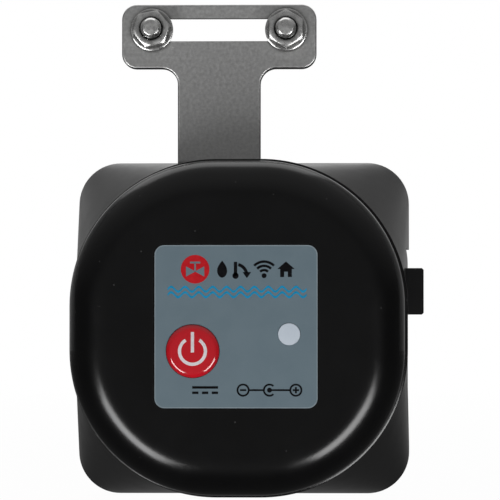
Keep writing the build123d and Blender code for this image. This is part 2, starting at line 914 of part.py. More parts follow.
# Gear motor: gearhead, can, terminals and the shaft that carries the pinion
with BuildPart() as motor_gearhead:
    with BuildSketch(facing(plate_front, *motor_place)):
        Circle(motor_radius)
    extrude(amount=gearhead_length)
    with BuildSketch(facing(plate_front, *motor_place)):
        Circle(motor_pilot_radius - thread_gap)
    extrude(amount=-plate_thickness / 2)
    with BuildSketch(facing(plate_back, *motor_place)):
        Circle(motor_shaft_radius + running_gap)
    extrude(amount=plate_thickness + motor_shaft_inside, mode=Mode.SUBTRACT)
    with BuildSketch(facing(plate_front)):
        with Locations(*motor_screw_places):
            Circle(motor_screw_radius + thread_gap)
    extrude(amount=motor_screw_length, mode=Mode.SUBTRACT)
motor_can = stacked([(gearhead_front, can_front, can_radius)], [motor_place])
terminal_places = [(motor_place[0] + side * terminal_spread, motor_place[1]) for side in (-1, 1)]
motor_terminals = slab(can_front, board_back, terminal_width, terminal_thickness, terminal_places)
motor_shaft = stacked(
    [(one_back - pinion_below, plate_front + motor_shaft_inside - seat_gap, motor_shaft_radius)],
    [motor_place],
)
motor_screws = stacked(
    [
        (plate_back - motor_screw_head, plate_back, motor_screw_head_radius),
        (plate_back, plate_back + motor_screw_length, motor_screw_radius),
    ],
    motor_screw_places,
)


def switch_plane(angle, forward):
    """A plane facing the viewer, with its x axis pointing away from the shaft."""
    turn = radians(angle)
    return Plane(origin=(0, -forward, 0), x_dir=(cos(turn), 0, sin(turn)), z_dir=(0, -1, 0))


# Limit switches under the gear plate, with ears and a pin for each lever
switch_back = plate_back - switch_thickness
switch_middle = switch_inner + switch_height / 2
lever_back = cam_back + (cam_width - lever_width) / 2
lever_front = lever_back + lever_width
pivot_radius = lever_inner + lever_thickness / 2
ear_starts = [lever_back - ear_gap - ear_thickness, lever_front + ear_gap]
with BuildPart() as limit_switches:
    for angle in switch_angles:
        with BuildSketch(switch_plane(angle, switch_back)):
            with Locations((switch_middle, 0)):
                Rectangle(switch_height, switch_length)
            with Locations(
                (switch_middle, switch_screw_spacing / 2), (switch_middle, -switch_screw_spacing / 2)
            ):
                Circle(switch_screw_radius + thread_gap, mode=Mode.SUBTRACT)
        extrude(amount=switch_thickness)
        for ear_start in ear_starts:
            with BuildSketch(switch_plane(angle, ear_start)):
                with Locations((switch_inner - ear_reach / 2 + ear_gap / 2, -lever_pivot)):
                    Rectangle(ear_reach + ear_gap, ear_width)
            extrude(amount=ear_thickness)
        with BuildSketch(switch_plane(angle, ear_starts[0])):
            with Locations((pivot_radius, -lever_pivot)):
                Circle(lever_pin_radius)
        extrude(amount=ear_starts[1] + ear_thickness - ear_starts[0])

tab_middle = switch_inner + switch_height + tab_length / 2
with BuildPart() as switch_terminals:
    for angle in switch_angles:
        with BuildSketch(switch_plane(angle, switch_back + switch_thickness / 2)):
            with Locations(*[(tab_middle, n * tab_spacing) for n in (-1, 0, 1)]):
                Rectangle(tab_length, tab_width)
        extrude(amount=tab_thickness)

limit_levers = {}
for name, angle in zip(("upper", "lower"), switch_angles):
    with BuildPart() as lever:
        with BuildSketch(switch_plane(angle, lever_back)):
            with Locations((pivot_radius, (lever_reach - lever_pivot) / 2)):
                Rectangle(lever_thickness, lever_reach + lever_pivot)
            with Locations((pivot_radius, -lever_pivot)):
                Circle(lever_eye_radius)
                Circle(lever_pin_radius + lever_pin_gap, mode=Mode.SUBTRACT)
        extrude(amount=lever_width)
    limit_levers[f"limit_lever_{name}"] = lever

with BuildPart() as switch_screws:
    for angle in switch_angles:
        places = ((switch_middle, switch_screw_spacing / 2), (switch_middle, -switch_screw_spacing / 2))
        with BuildSketch(switch_plane(angle, switch_back)):
            with Locations(*places):
                Circle(switch_screw_radius)
        extrude(amount=plate_front - switch_back)
        with BuildSketch(switch_plane(angle, switch_back)):
            with Locations(*places):
                Circle(switch_screw_head_radius)
        extrude(amount=-switch_screw_head)

# Bracket plate: a slotted head, a stem and a pad screwed to the housing
outline_corners = [head_corner] * 3 + [stem_fillet] * 2 + [pad_corner] * 4
outline_corners += [stem_fillet] * 2 + [head_corner]
with BuildPart() as bracket_plate:
    with BuildSketch(facing(-bracket_thickness)):
        with BuildLine():
            FilletPolyline(
                (-head_half_width, head_top),
                (head_half_width, head_top),
                (head_half_width, head_bottom),
                (stem_half_width, head_bottom),
                (stem_half_width, pad_half),
                (pad_half, pad_half),
                (pad_half, -pad_half),
                (-pad_half, -pad_half),
                (-pad_half, pad_half),
                (-stem_half_width, pad_half),
                (-stem_half_width, head_bottom),
                (-head_half_width, head_bottom),
                radius=outline_corners,
                close=True,
            )
        make_face()
        with Locations((0, slot_z)):
            SlotOverall(slot_length, slot_width, mode=Mode.SUBTRACT)
        with Locations(*bracket_screw_places):
            Circle(bracket_screw_radius + screw_gap, mode=Mode.SUBTRACT)
        Circle(shaft_window_radius, mode=Mode.SUBTRACT)
    extrude(amount=bracket_thickness)
    fillet(bracket_plate.faces().sort_by(Axis.Y)[0].outer_wire().edges(), bracket_edge)

bracket_screws = stacked(
    [
        (-bracket_thickness - bracket_screw_head, -bracket_thickness, bracket_screw_head_radius),
        (-bracket_thickness, bracket_screw_length - bracket_thickness, bracket_screw_radius),
    ],
    bracket_screw_places,
)

# Strap bolts with their washers and nuts, heads behind the bracket
nut_front = strap_washer + strap_nut
strap_pieces = {}
for name, side, turn in (("left", -1, left_nut_turn), ("right", 1, right_nut_turn)):
    place = (side * strap_bolt_x, slot_z)
    bolt_head = hexagon(facing(-bracket_thickness - strap_head, *place), strap_head_flats, strap_head)
    nut_block = hexagon(facing(strap_washer, *place), strap_head_flats, strap_nut, turn)
    with BuildPart() as strap_bolt:
        with BuildSketch(facing(-bracket_thickness, *place)):
            Circle(strap_bolt_radius)
        extrude(amount=bracket_thickness + nut_front + strap_thread_out)
        chamfer(strap_bolt.faces().sort_by(Axis.Y)[0].edges(), strap_thread_dome)
        add(bolt_head.part)
    with BuildPart() as strap_washer_piece:
        with BuildSketch(facing(0, *place)):
            Circle(strap_washer_radius)
            Circle(strap_bolt_radius + screw_gap, mode=Mode.SUBTRACT)
        extrude(amount=strap_washer)
    with BuildPart() as strap_nut_piece:
        add(nut_block.part)
        with BuildSketch(facing(strap_washer, *place)):
            Circle(strap_bolt_radius + thread_gap)
        extrude(amount=strap_nut, mode=Mode.SUBTRACT)
    strap_pieces[f"strap_bolt_{name}"] = strap_bolt
    strap_pieces[f"strap_washer_{name}"] = strap_washer_piece
    strap_pieces[f"strap_nut_{name}"] = strap_nut_piece

# Leads: two from the power socket and one pair from each limit switch
connector_top = connector_back
socket_top = socket_z + socket_width / 2


def inner_wall(forward):
    """Half the width inside the housing at this depth."""
    return inner_width / 2 + (inner_mouth - inner_width) / 2 * forward / seam


socket_to_connector = connector_top - socket_forward
power_middle, power_turn = [socket_forward + socket_to_connector * share for share in power_lead_shares]
power_start_x = body_x + inner_wall(socket_forward) - lead_gap - 3 * power_lead_radius
power_middle_x = body_x + inner_wall(power_middle) - power_lead_inset
power_routes = []
for side in (-1, 1):
    start_x = power_start_x + side * power_lead_radius * 2
    end_x = power_connector_x + side * power_lead_radius * 2
    power_routes.append(
        [
            (start_x, -socket_forward, socket_top),
            (start_x, -socket_forward, socket_top + power_lead_rise),
            (power_middle_x + side * power_lead_spread, -power_middle, socket_top + power_lead_high),
            (end_x, -power_turn, connector_z),
            (end_x, -connector_top, connector_z),
        ]
    )

tab_end = switch_inner + switch_height + tab_length
tab_forward = switch_back + switch_thickness / 2 + tab_thickness / 2
tab_to_connector = connector_top - tab_forward
switch_turn = tab_forward + tab_to_connector * switch_lead_end_share
switch_routes = []
switch_stops = zip(switch_angles, (-1, 1), switch_lead_insets, switch_lead_shares, switch_lead_heights)
for angle, side, insets, shares, heights in switch_stops:
    start_x, start_z = along((0, 0), angle, tab_end)
    leave_x, leave_z = along((0, 0), angle, tab_end + lead_bend * 2)
    end_x = switch_connector_x + side * switch_lead_radius * 2
    route = [(start_x, -tab_forward, start_z), (leave_x, -tab_forward, leave_z)]
    for inset, share, height in zip(insets, shares, heights):
        forward = tab_forward + tab_to_connector * share
        route.append((body_x - inner_wall(forward) + inset, -forward, height))
    route += [(end_x, -switch_turn, connector_z), (end_x, -connector_top, connector_z)]
    switch_routes.append(route)


def leads(routes, radius):
    """Round wires along routes of straight runs and arcs."""
    with BuildPart() as piece:
        for route in routes:
            with BuildLine() as path:
                FilletPolyline(*route, radius=lead_bend)
            with BuildSketch(Plane(origin=path.line @ 0, z_dir=path.line % 0)):
                Circle(radius)
            sweep(path=path.line)
    return piece


power_leads = leads(power_routes, power_lead_radius)
switch_leads = leads(switch_routes, switch_lead_radius)

pieces = {
    "front_cover": front_cover,
    "face_label": face_label,
    "power_button": power_button,
    "light_window": light_window,
    "base_housing": base_housing,
    "cover_screws": cover_screws,
    "main_board": main_board,
    "board_screws": board_screws,
    "tact_switch": tact_switch,
    "tact_plunger": tact_plunger,
    "status_lamp": status_lamp,
    "radio_module": radio_module,
    "radio_shield": radio_shield,
    "motor_relays": motor_relays,
    "bulk_capacitor": bulk_capacitor,
    "power_connector": power_connector,
    "switch_connector": switch_connector,
    "power_socket": power_socket,
    "socket_pin": socket_pin,
    "power_leads": power_leads,
    "switch_leads": switch_leads,
    "gear_plate": gear_plate,
    "plate_screws": plate_screws,
    "floor_bush": floor_bush,
    "plate_bush": plate_bush,
    "gear_axles": gear_axles,
    "axle_clip": axle_clip,
    "output_gear": output_gear,
    "gear_two": gear_two,
    "gear_one": gear_one,
    "motor_pinion": motor_pinion,
    "motor_shaft": motor_shaft,
    "motor_gearhead": motor_gearhead,
    "motor_can": motor_can,
    "motor_terminals": motor_terminals,
    "motor_screws": motor_screws,
    "output_shaft": output_shaft,
    "position_cam": position_cam,
    "limit_switches": limit_switches,
    "switch_terminals": switch_terminals,
    "switch_screws": switch_screws,
    "lever_fork": lever_fork,
    "fork_washer": fork_washer_piece,
    "fork_screw": fork_screw,
    "bracket_plate": bracket_plate,
    "bracket_screws": bracket_screws,
} | limit_levers | clamp_screws | strap_pieces

for name, piece in pieces.items():
    piece.part.label = name
    export_step(piece.part, f"parts/{name}.step")
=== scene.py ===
# %% [markdown]
# # A clip-on water valve controller
# A small black motor unit that clips onto a quarter turn valve and turns its lever. Its front is a soft
# rounded square with a printed label, a red push button and a lamp window. A steel bracket with two strap
# bolts rises behind it.
#
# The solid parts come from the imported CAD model, which is the frame for everything here. This lesson dresses
# them: it gives each a finish made of nodes, puts finer pieces over the plain screws and nuts, prints the
# label, and sets up the camera and a plain studio.

# %% Load the frame
import json
from math import atan, cos, pi, radians, sin, sqrt, tan

import bpy
from mathutils import Matrix, Vector


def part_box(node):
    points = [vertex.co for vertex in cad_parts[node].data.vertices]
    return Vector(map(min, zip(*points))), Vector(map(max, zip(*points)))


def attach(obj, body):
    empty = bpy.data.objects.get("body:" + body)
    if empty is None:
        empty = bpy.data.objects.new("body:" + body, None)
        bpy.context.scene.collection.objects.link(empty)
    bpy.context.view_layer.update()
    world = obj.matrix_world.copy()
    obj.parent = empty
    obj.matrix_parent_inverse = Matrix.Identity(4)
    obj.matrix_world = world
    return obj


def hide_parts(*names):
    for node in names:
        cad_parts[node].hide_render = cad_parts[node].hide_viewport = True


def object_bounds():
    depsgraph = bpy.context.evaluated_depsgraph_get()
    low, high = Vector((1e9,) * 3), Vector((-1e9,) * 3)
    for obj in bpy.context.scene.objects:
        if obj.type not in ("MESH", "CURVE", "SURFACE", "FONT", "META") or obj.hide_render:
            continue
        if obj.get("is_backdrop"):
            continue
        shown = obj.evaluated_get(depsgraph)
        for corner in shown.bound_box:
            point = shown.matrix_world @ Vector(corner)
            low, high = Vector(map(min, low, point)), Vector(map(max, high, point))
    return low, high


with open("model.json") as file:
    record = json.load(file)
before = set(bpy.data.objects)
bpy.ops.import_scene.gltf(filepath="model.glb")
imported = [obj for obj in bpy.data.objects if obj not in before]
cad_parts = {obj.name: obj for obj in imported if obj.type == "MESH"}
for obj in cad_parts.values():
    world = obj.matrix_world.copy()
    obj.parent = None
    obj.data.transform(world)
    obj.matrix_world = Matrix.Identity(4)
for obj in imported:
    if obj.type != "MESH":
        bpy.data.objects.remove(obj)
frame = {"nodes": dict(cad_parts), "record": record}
cad_box = [list(corner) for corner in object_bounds()]
nodes = frame["nodes"]
mm = 0.001
print(len(nodes), "CAD nodes in a box of", [round((high - low) / mm, 1) for low, high in zip(*cad_box)], "mm")

# %% [markdown]
# ## Shared effects as node groups
# Moulded plastic, cut steel and printed film have a few things in common: a fine grain, edges that have been
# rubbed, and specks of dust. Each could be wired again in every material. A node group is better: it is built
# once, has named inputs, and each material gives it its own values.
#
# A group here puts out only masks and heights. The shader itself stays in the material.

# %% A helper that starts a node group
def new_group(name, inputs, outputs):
    """A shader group with float inputs {name: value} and float outputs, and its two end nodes."""
    group = bpy.data.node_groups.new(name, "ShaderNodeTree")
    for label, value in inputs.items():
        socket = group.interface.new_socket(label, in_out="INPUT", socket_type="NodeSocketFloat")
        socket.default_value = value
    for label in outputs:
        group.interface.new_socket(label, in_out="OUTPUT", socket_type="NodeSocketFloat")
    return group, group.nodes.new("NodeGroupInput"), group.nodes.new("NodeGroupOutput")


def add_node(tree, kind, settings=None, **values):
    """Adds a node, sets its properties and its input values by name."""
    node = tree.nodes.new(kind)
    for key, value in (settings or {}).items():
        setattr(node, key, value)
    for key, value in values.items():
        node.inputs[key.replace("_", " ")].default_value = value
    return node


def math_node(tree, operation, first, second=None):
    """A Math node on two numbers or sockets, and its result."""
    node = add_node(tree, "ShaderNodeMath", {"operation": operation})
    for socket, value in zip(node.inputs, (first, second)):
        if isinstance(value, bpy.types.NodeSocket):
            tree.links.new(value, socket)
        elif value is not None:
            socket.default_value = value
    return node.outputs[0]


def remap(tree, value, low, high, to_low=0.0, to_high=1.0):
    """Spreads the stretch from low to high over another one, and stops at its ends."""
    node = add_node(tree, "ShaderNodeMapRange", From_Min=low, From_Max=high, To_Min=to_low, To_Max=to_high)
    tree.links.new(value, node.inputs["Value"])
    return node.outputs["Result"]


print("helpers for node groups are ready")

# %% Grain of moulded plastic and rolled metal
# The size is in millimetres. Object coordinates are in metres here, because every piece is modelled in place.
grain, start, end = new_group("surface grain", {"Grain size": 0.3, "Patch size": 8.0}, ["Height", "Patches"])
place = add_node(grain, "ShaderNodeTexCoord").outputs["Object"]
for socket, out, detail in (("Grain size", "Height", 3.0), ("Patch size", "Patches", 4.0)):
    noise = add_node(grain, "ShaderNodeTexNoise", Detail=detail, Roughness=0.6)
    grain.links.new(place, noise.inputs["Vector"])
    grain.links.new(math_node(grain, "DIVIDE", 1 / mm, start.outputs[socket]), noise.inputs["Scale"])
    grain.links.new(noise.outputs["Fac"], end.inputs[out])
print("group:", grain.name)

# %% Rubbed edges
# A Bevel node looks at the surface around a point. Where its normal differs from the true one there is an
# edge. A noise breaks the line up, so that the edge looks handled and not drawn.
edges, start, end = new_group("rubbed edges", {"Width": 0.4, "Breaks": 2.5}, ["Mask"])
bevel = add_node(edges, "ShaderNodeBevel", {"samples": 6})
edges.links.new(math_node(edges, "MULTIPLY", start.outputs["Width"], mm), bevel.inputs["Radius"])
likeness = add_node(edges, "ShaderNodeVectorMath", {"operation": "DOT_PRODUCT"})
edges.links.new(bevel.outputs["Normal"], likeness.inputs[0])
edges.links.new(add_node(edges, "ShaderNodeNewGeometry").outputs["Normal"], likeness.inputs[1])
noise = add_node(edges, "ShaderNodeTexNoise", Detail=5.0, Roughness=0.7)
edges.links.new(add_node(edges, "ShaderNodeTexCoord").outputs["Object"], noise.inputs["Vector"])
edges.links.new(math_node(edges, "DIVIDE", 1 / mm, start.outputs["Breaks"]), noise.inputs["Scale"])
flat_likeness, edge_likeness = 0.995, 0.9
faintest_rub, break_start, break_end = 0.15, 0.4, 0.62
rubbed = remap(edges, likeness.outputs["Value"], flat_likeness, edge_likeness)
broken = remap(edges, noise.outputs["Fac"], break_start, break_end, faintest_rub, 1.0)
edges.links.new(math_node(edges, "MULTIPLY", rubbed, broken), end.inputs["Mask"])
print("group:", edges.name)

# %% Specks of dust
# Black plastic is never clean. Small cells whose centre is near give round specks, and a second noise leaves
# most of them out.
dust, start, end = new_group("dust specks", {"Spacing": 3.0, "Speck": 0.06}, ["Mask"])
cells = add_node(dust, "ShaderNodeTexVoronoi")
dust.links.new(add_node(dust, "ShaderNodeTexCoord").outputs["Object"], cells.inputs["Vector"])
dust.links.new(math_node(dust, "DIVIDE", 1 / mm, start.outputs["Spacing"]), cells.inputs["Scale"])
share_without_dust = 0.6
near = math_node(dust, "LESS_THAN", cells.outputs["Distance"], start.outputs["Speck"])
split = add_node(dust, "ShaderNodeSeparateColor")
dust.links.new(cells.outputs["Color"], split.inputs[0])
strength = remap(dust, split.outputs[0], share_without_dust, 1.0)
dust.links.new(math_node(dust, "MULTIPLY", near, strength), end.inputs["Mask"])
print("group:", dust.name)

# %% Painted shade in hollows
# Threads and the foot of a nut get a painted shade: a colour darker than the metal, where shade falls.
# Ambient occlusion finds those places, because little of the sky is open above them.
hollow_shade_group, start, end = new_group("painted shade in hollows", {"Reach": 1.2}, ["Mask"])
shade = add_node(hollow_shade_group, "ShaderNodeAmbientOcclusion", {"samples": 8})
hollow_shade_group.links.new(math_node(hollow_shade_group, "MULTIPLY", start.outputs["Reach"], mm), shade.inputs["Distance"])
hemmed_in, in_the_open = 0.4, 0.92
hollow_shade_group.links.new(remap(hollow_shade_group, shade.outputs["AO"], hemmed_in, in_the_open, 1.0, 0.0), end.inputs["Mask"])
print("group:", hollow_shade_group.name)

# %% Brushed lines
# Brushing leaves long thin scratches. The same noise does it, pulled out along the way the brush went.
brush_sizes = {"Across": 0.12, "Along X": 0.12, "Along Z": 6.0}
brushed, start, end = new_group("brushed lines", brush_sizes, ["Height"])
parts = add_node(brushed, "ShaderNodeSeparateXYZ")
brushed.links.new(add_node(brushed, "ShaderNodeTexCoord").outputs["Object"], parts.inputs[0])
joined = add_node(brushed, "ShaderNodeCombineXYZ")
for axis, size in enumerate(("Along X", "Across", "Along Z")):
    scale = math_node(brushed, "DIVIDE", 1 / mm, start.outputs[size])
    brushed.links.new(math_node(brushed, "MULTIPLY", parts.outputs[axis], scale), joined.inputs[axis])
noise = add_node(brushed, "ShaderNodeTexNoise", Scale=1.0, Detail=4.0, Roughness=0.65)
brushed.links.new(joined.outputs[0], noise.inputs["Vector"])
brushed.links.new(noise.outputs["Fac"], end.inputs["Height"])
print("group:", brushed.name)

# %% [markdown]
# ## The finishes
# Every finish here is one Principled shader. What differs is its colours and how strongly each effect acts,
# so one function builds them all from a few numbers: two colours for the patches, a range of roughness, the
# grain's size and depth, the colours that edges and specks take, and two painted shades: one in hollows and
# one on faces that look down.

# %% A function that builds a finish
def place_group(tree, group, **values):
    """Puts a group in a material with its own values."""
    return add_node(tree, "ShaderNodeGroup", {"node_tree": group}, **values)


def mixed(tree, mask, first, second):
    """Mixes two colours, or a colour over a socket, by a mask."""
    node = tree.nodes.new("ShaderNodeMix")
    node.data_type = "RGBA"
    tree.links.new(mask, node.inputs[0])
    for socket, value in ((node.inputs[6], first), (node.inputs[7], second)):
        if isinstance(value, bpy.types.NodeSocket):
            tree.links.new(value, socket)
        else:
            socket.default_value = (*value, 1)
    return node.outputs[2]


patch_span = (0.35, 0.65)
shine_span = (0.3, 0.7)
shade_below_span = (-0.25, -0.5)


def finish(name, colour, patch_colour, roughness, grain_size=0.3, grain_depth=0.01, patch_size=8.0,
           rubbed=None, rub_width=0.4, specks=None, hollow_shade=None, hollow_shade_reach=1.2, shade_below=None,
           lines=None, line_depth=0.004, **shader_values):
    """A material with grain, patches, rubbed edges, dust, painted shade in hollows and underneath, and brushed
    lines, in millimetres.
    """
    material = bpy.data.materials.new(name)
    material.use_nodes = True
    tree = material.node_tree
    shader = tree.nodes["Principled BSDF"]
    for key, value in shader_values.items():
        shader.inputs[key.replace("_", " ")].default_value = value
    texture = place_group(tree, grain, Grain_size=grain_size, Patch_size=patch_size)
    patches = remap(tree, texture.outputs["Patches"], *patch_span)
    tint = mixed(tree, patches, colour, patch_colour)
    if rubbed:
        rim = place_group(tree, edges, Width=rub_width)
        tint = mixed(tree, rim.outputs["Mask"], tint, rubbed)
    if specks:
        dirt = place_group(tree, dust)
        tint = mixed(tree, dirt.outputs["Mask"], tint, specks)
    # Painted shade: hollows that ambient occlusion finds take a darker colour.
    if hollow_shade:
        depth = place_group(tree, hollow_shade_group, Reach=hollow_shade_reach)
        tint = mixed(tree, depth.outputs["Mask"], tint, hollow_shade)
    # Painted shade: faces that look down take a darker colour.
    if shade_below:
        facing = add_node(tree, "ShaderNodeSeparateXYZ")
        tree.links.new(add_node(tree, "ShaderNodeNewGeometry").outputs["Normal"], facing.inputs[0])
        tint = mixed(tree, remap(tree, facing.outputs["Z"], *shade_below_span), tint, shade_below)
    tree.links.new(tint, shader.inputs["Base Color"])
    shine = remap(tree, texture.outputs["Patches"], *shine_span, *roughness)
    tree.links.new(shine, shader.inputs["Roughness"])
    bump = add_node(tree, "ShaderNodeBump", Distance=grain_depth * mm, Strength=1.0)
    tree.links.new(texture.outputs["Height"], bump.inputs["Height"])
    if lines:
        scratch = place_group(tree, brushed, Across=lines[0], Along_X=lines[1], Along_Z=lines[2])
        second = add_node(tree, "ShaderNodeBump", Distance=line_depth * mm, Strength=1.0)
        tree.links.new(scratch.outputs["Height"], second.inputs["Height"])
        tree.links.new(bump.outputs["Normal"], second.inputs["Normal"])
        bump = second
    tree.links.new(bump.outputs["Normal"], shader.inputs["Normal"])
    return material


print("the finish function is ready")

# %% [markdown]
# ## Plastics
# The shell is moulded in black with a fine satin texture. Its colour is darker than it looks, because most of
# what one sees is light off its surface. So the roughness and a fine grain carry the look, and the colour
# only a little. The label is a matt film, and the button's gloss is a clear coat over deep red.

# %% Plastics
satin_black = finish(
    "satin black plastic", (0.002, 0.002, 0.0021), (0.0028, 0.0028, 0.003), (0.17, 0.22),
    grain_size=0.3, grain_depth=0.006, patch_size=14, rubbed=(0.01, 0.01, 0.01), specks=(0.05, 0.05, 0.05),
    Specular_IOR_Level=0.4,
)
socket_black = finish(
    "socket plastic", (0.004, 0.004, 0.0044), (0.006, 0.006, 0.0065), (0.4, 0.5),
    grain_size=0.25, grain_depth=0.008, rubbed=(0.03, 0.03, 0.032), lines=(0.5, 0.9, 30), line_depth=0.02,
    Specular_IOR_Level=0.25,
)
label_film = finish(
    "label film", (0.119, 0.165, 0.194), (0.127, 0.174, 0.203), (0.42, 0.5),
    grain_size=0.12, grain_depth=0.003, patch_size=5, Specular_IOR_Level=0.3,
)
# A painted highlight: the label's rim is a lighter colour than the label.
painted_rim_highlight = finish(
    "painted highlight at the label's edge", (0.2, 0.25, 0.28), (0.23, 0.28, 0.31), (0.3, 0.4), grain_size=0.2, grain_depth=0.003,
)
button_red = finish(
    "button red", (0.47, 0.004, 0.011), (0.5, 0.005, 0.014), (0.12, 0.2),
    grain_size=1.2, grain_depth=0.003, rubbed=(0.36, 0.004, 0.01), rub_width=0.5,
    Coat_Weight=1.0, Coat_Roughness=0.05, Coat_IOR=1.6, Specular_IOR_Level=0.2,
)
window_milk = finish(
    "milky window", (0.5, 0.56, 0.63), (0.54, 0.6, 0.67), (0.3, 0.4),
    grain_size=0.4, grain_depth=0.004,
)
gear_white = finish(
    "gear plastic", (0.62, 0.6, 0.52), (0.66, 0.64, 0.56), (0.35, 0.45), rubbed=(0.75, 0.73, 0.66),
)
board_green = finish("board lacquer", (0.01, 0.09, 0.035), (0.014, 0.11, 0.045), (0.25, 0.35), grain_size=0.6)
part_black = finish(
    "part black", (0.012, 0.012, 0.012), (0.02, 0.02, 0.02), (0.4, 0.5), rubbed=(0.06, 0.06, 0.06),
)
relay_blue = finish(
    "relay blue", (0.02, 0.09, 0.3), (0.025, 0.1, 0.34), (0.3, 0.4), rubbed=(0.06, 0.16, 0.4),
)
part_white = finish(
    "part white", (0.7, 0.7, 0.68), (0.75, 0.75, 0.73), (0.35, 0.45), rubbed=(0.8, 0.8, 0.78),
)
wire_red = finish("red wire", (0.5, 0.012, 0.012), (0.56, 0.02, 0.02), (0.35, 0.45), grain_size=0.5)
wire_white = finish("white wire", (0.7, 0.7, 0.68), (0.75, 0.75, 0.73), (0.35, 0.45), grain_size=0.5)
print("plastics made")

# %% [markdown]
# ## Metals
# The bracket is stamped from stainless sheet. It was brushed along its stem and then tumbled, so faint lines
# lie under a fine mottle. Its cut edges that face down get a painted shade. Bolts and nuts are zinc plated:
# brighter and smoother, with painted shade in the thread and around the foot of a nut.

# %% Metals
# Two of the steel's colours are painted shade: one in its hollows, one on faces that look down.
sheet_steel = finish(
    "stainless sheet", (0.62, 0.62, 0.615), (0.77, 0.77, 0.765), (0.36, 0.44),
    grain_size=0.24, grain_depth=0.014, patch_size=0.8, rubbed=(0.66, 0.66, 0.64), rub_width=0.3,
    hollow_shade=(0.12, 0.12, 0.118), shade_below=(0.1, 0.1, 0.1), lines=(0.3, 0.14, 5.0), line_depth=0.006,
    Metallic=1.0,
)
# The zinc's darkest colour is painted shade in the thread and around the foot of a nut.
zinc = finish(
    "bright zinc", (0.84, 0.84, 0.83), (1.0, 1.0, 0.99), (0.2, 0.38),
    grain_size=0.5, grain_depth=0.008, patch_size=1.2, rubbed=(0.95, 0.95, 0.93), rub_width=0.25,
    hollow_shade=(0.05, 0.05, 0.048), hollow_shade_reach=2.6, Metallic=1.0,
)
shaft_steel = finish(
    "turned steel", (0.5, 0.5, 0.5), (0.56, 0.56, 0.56), (0.22, 0.34), rubbed=(0.7, 0.7, 0.7), Metallic=1.0,
)
plate_steel = finish(
    "plate steel", (0.46, 0.46, 0.45), (0.52, 0.52, 0.5), (0.32, 0.45), rubbed=(0.6, 0.6, 0.58), Metallic=1.0,
)
brass = finish(
    "bush brass", (0.6, 0.42, 0.16), (0.68, 0.48, 0.2), (0.26, 0.38), rubbed=(0.8, 0.62, 0.3), Metallic=1.0,
)
print("metals made")

# %% A finish for every CAD node
finish_of_slot = {
    "black_plastic": satin_black, "label_face": label_film, "button_red": button_red,
    "window_white": window_milk, "socket_plastic": socket_black, "bracket_steel": sheet_steel,
    "plated_steel": zinc, "shaft_steel": shaft_steel, "plate_steel": plate_steel, "bush_brass": brass,
    "gear_plastic": gear_white, "board_green": board_green, "part_black": part_black,
    "relay_blue": relay_blue, "part_white": part_white, "wire_red": wire_red, "wire_white": wire_white,
}
for part in frame["record"]["subparts"]:
    data = nodes[part["node"]].data
    data.materials.clear()
    data.materials.append(finish_of_slot[part["material_slot"]])
print(len(finish_of_slot), "finishes on", len(nodes), "nodes")

# %% [markdown]
# ## Turned and threaded pieces
# Nuts, bolts and washers catch the eye, and a plain hexagonal prism gives them away at once. A real nut is
# cut from hexagonal bar and its corners are turned off by a cone, which leaves curved edges on its flats. A
# real bolt end shows its thread.
#
# Boolean tools could cut both. It is simpler to see that each of these pieces is a stack of closed rings: a
# ring's radius may change with the angle, which makes a hexagon or a thread, and so may its height, which
# makes the cone's curves.

# %% A mesh from stacked rings
sharp_angle = 32


def ring_mesh(name, shells, matrix, material, body, stands_for=()):
    """Joins rings of equal length into closed shells, places them, and makes the piece ride on its body."""
    points, faces = [], []
    for rings in shells:
        count = len(rings[0])
        base = len(points)
        points += [point for ring in rings for point in ring]
        for row in range(len(rings) - 1):
            for step in range(count):
                one, two = base + row * count + step, base + row * count + (step + 1) % count
                faces.append((one, two, two + count, one + count))
        faces.append(tuple(base + step for step in reversed(range(count))))
        faces.append(tuple(base + (len(rings) - 1) * count + step for step in range(count)))
    mesh = bpy.data.meshes.new(name)
    mesh.from_pydata([matrix @ Vector(point) for point in points], [], faces)
    mesh.materials.append(material)
    mesh.polygons.foreach_set("use_smooth", [True] * len(mesh.polygons))
    mesh.set_sharp_from_angle(angle=radians(sharp_angle))
    mesh.update()
    piece = bpy.data.objects.new(name, mesh)
    bpy.context.scene.collection.objects.link(piece)
    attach(piece, body)
    if stands_for:
        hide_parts(*stands_for)
    return piece


def ring(radius, height, count=96):
    """One ring. Radius and height are numbers in millimetres, or functions of the angle."""
    points = []
    for step in range(count):
        angle = 2 * pi * step / count
        r = radius(angle) if callable(radius) else radius
        h = height(angle) if callable(height) else height
        points.append((r * cos(angle) * mm, r * sin(angle) * mm, h * mm))
    return points


def from_face(x, z, forward=0.0):
    """Places a piece whose own height points at the viewer, at x and z on a plane this far forward."""
    return Matrix.Translation((x * mm, -forward * mm, z * mm)) @ Matrix.Rotation(pi / 2, 4, "X")


print("ring meshes are ready")

# %% [markdown]
# ## Nuts with turned corners
# A flat's distance from the axis is the same all along it, so the radius towards an angle is that distance
# over the cosine. The cone takes height off wherever the radius goes past a circle a little inside the flats.
# On a nut that circle almost touches the flats, so the hexagon stays crisp. On a bolt's head it is smaller.

# %% Hexagonal blocks
pinhole = 0.01
cone_slope = 30
nut_cone_share, head_cone_share = 0.985, 0.94
countersink, countersink_depth = 0.62, 0.55


def hexagon_radius(flats, turn=0.0):
    """Radius of a hexagon towards an angle, with a corner at the turn."""
    return lambda angle: flats / 2 / cos((angle - radians(turn)) % (pi / 3) - pi / 6)


def coned(flats, turn, height, cone_share, up=1):
    """Height of a face whose corners a cone has turned off."""
    radius = hexagon_radius(flats, turn)
    fall = tan(radians(cone_slope))
    return lambda angle: height - up * max(0.0, radius(angle) - flats / 2 * cone_share) * fall


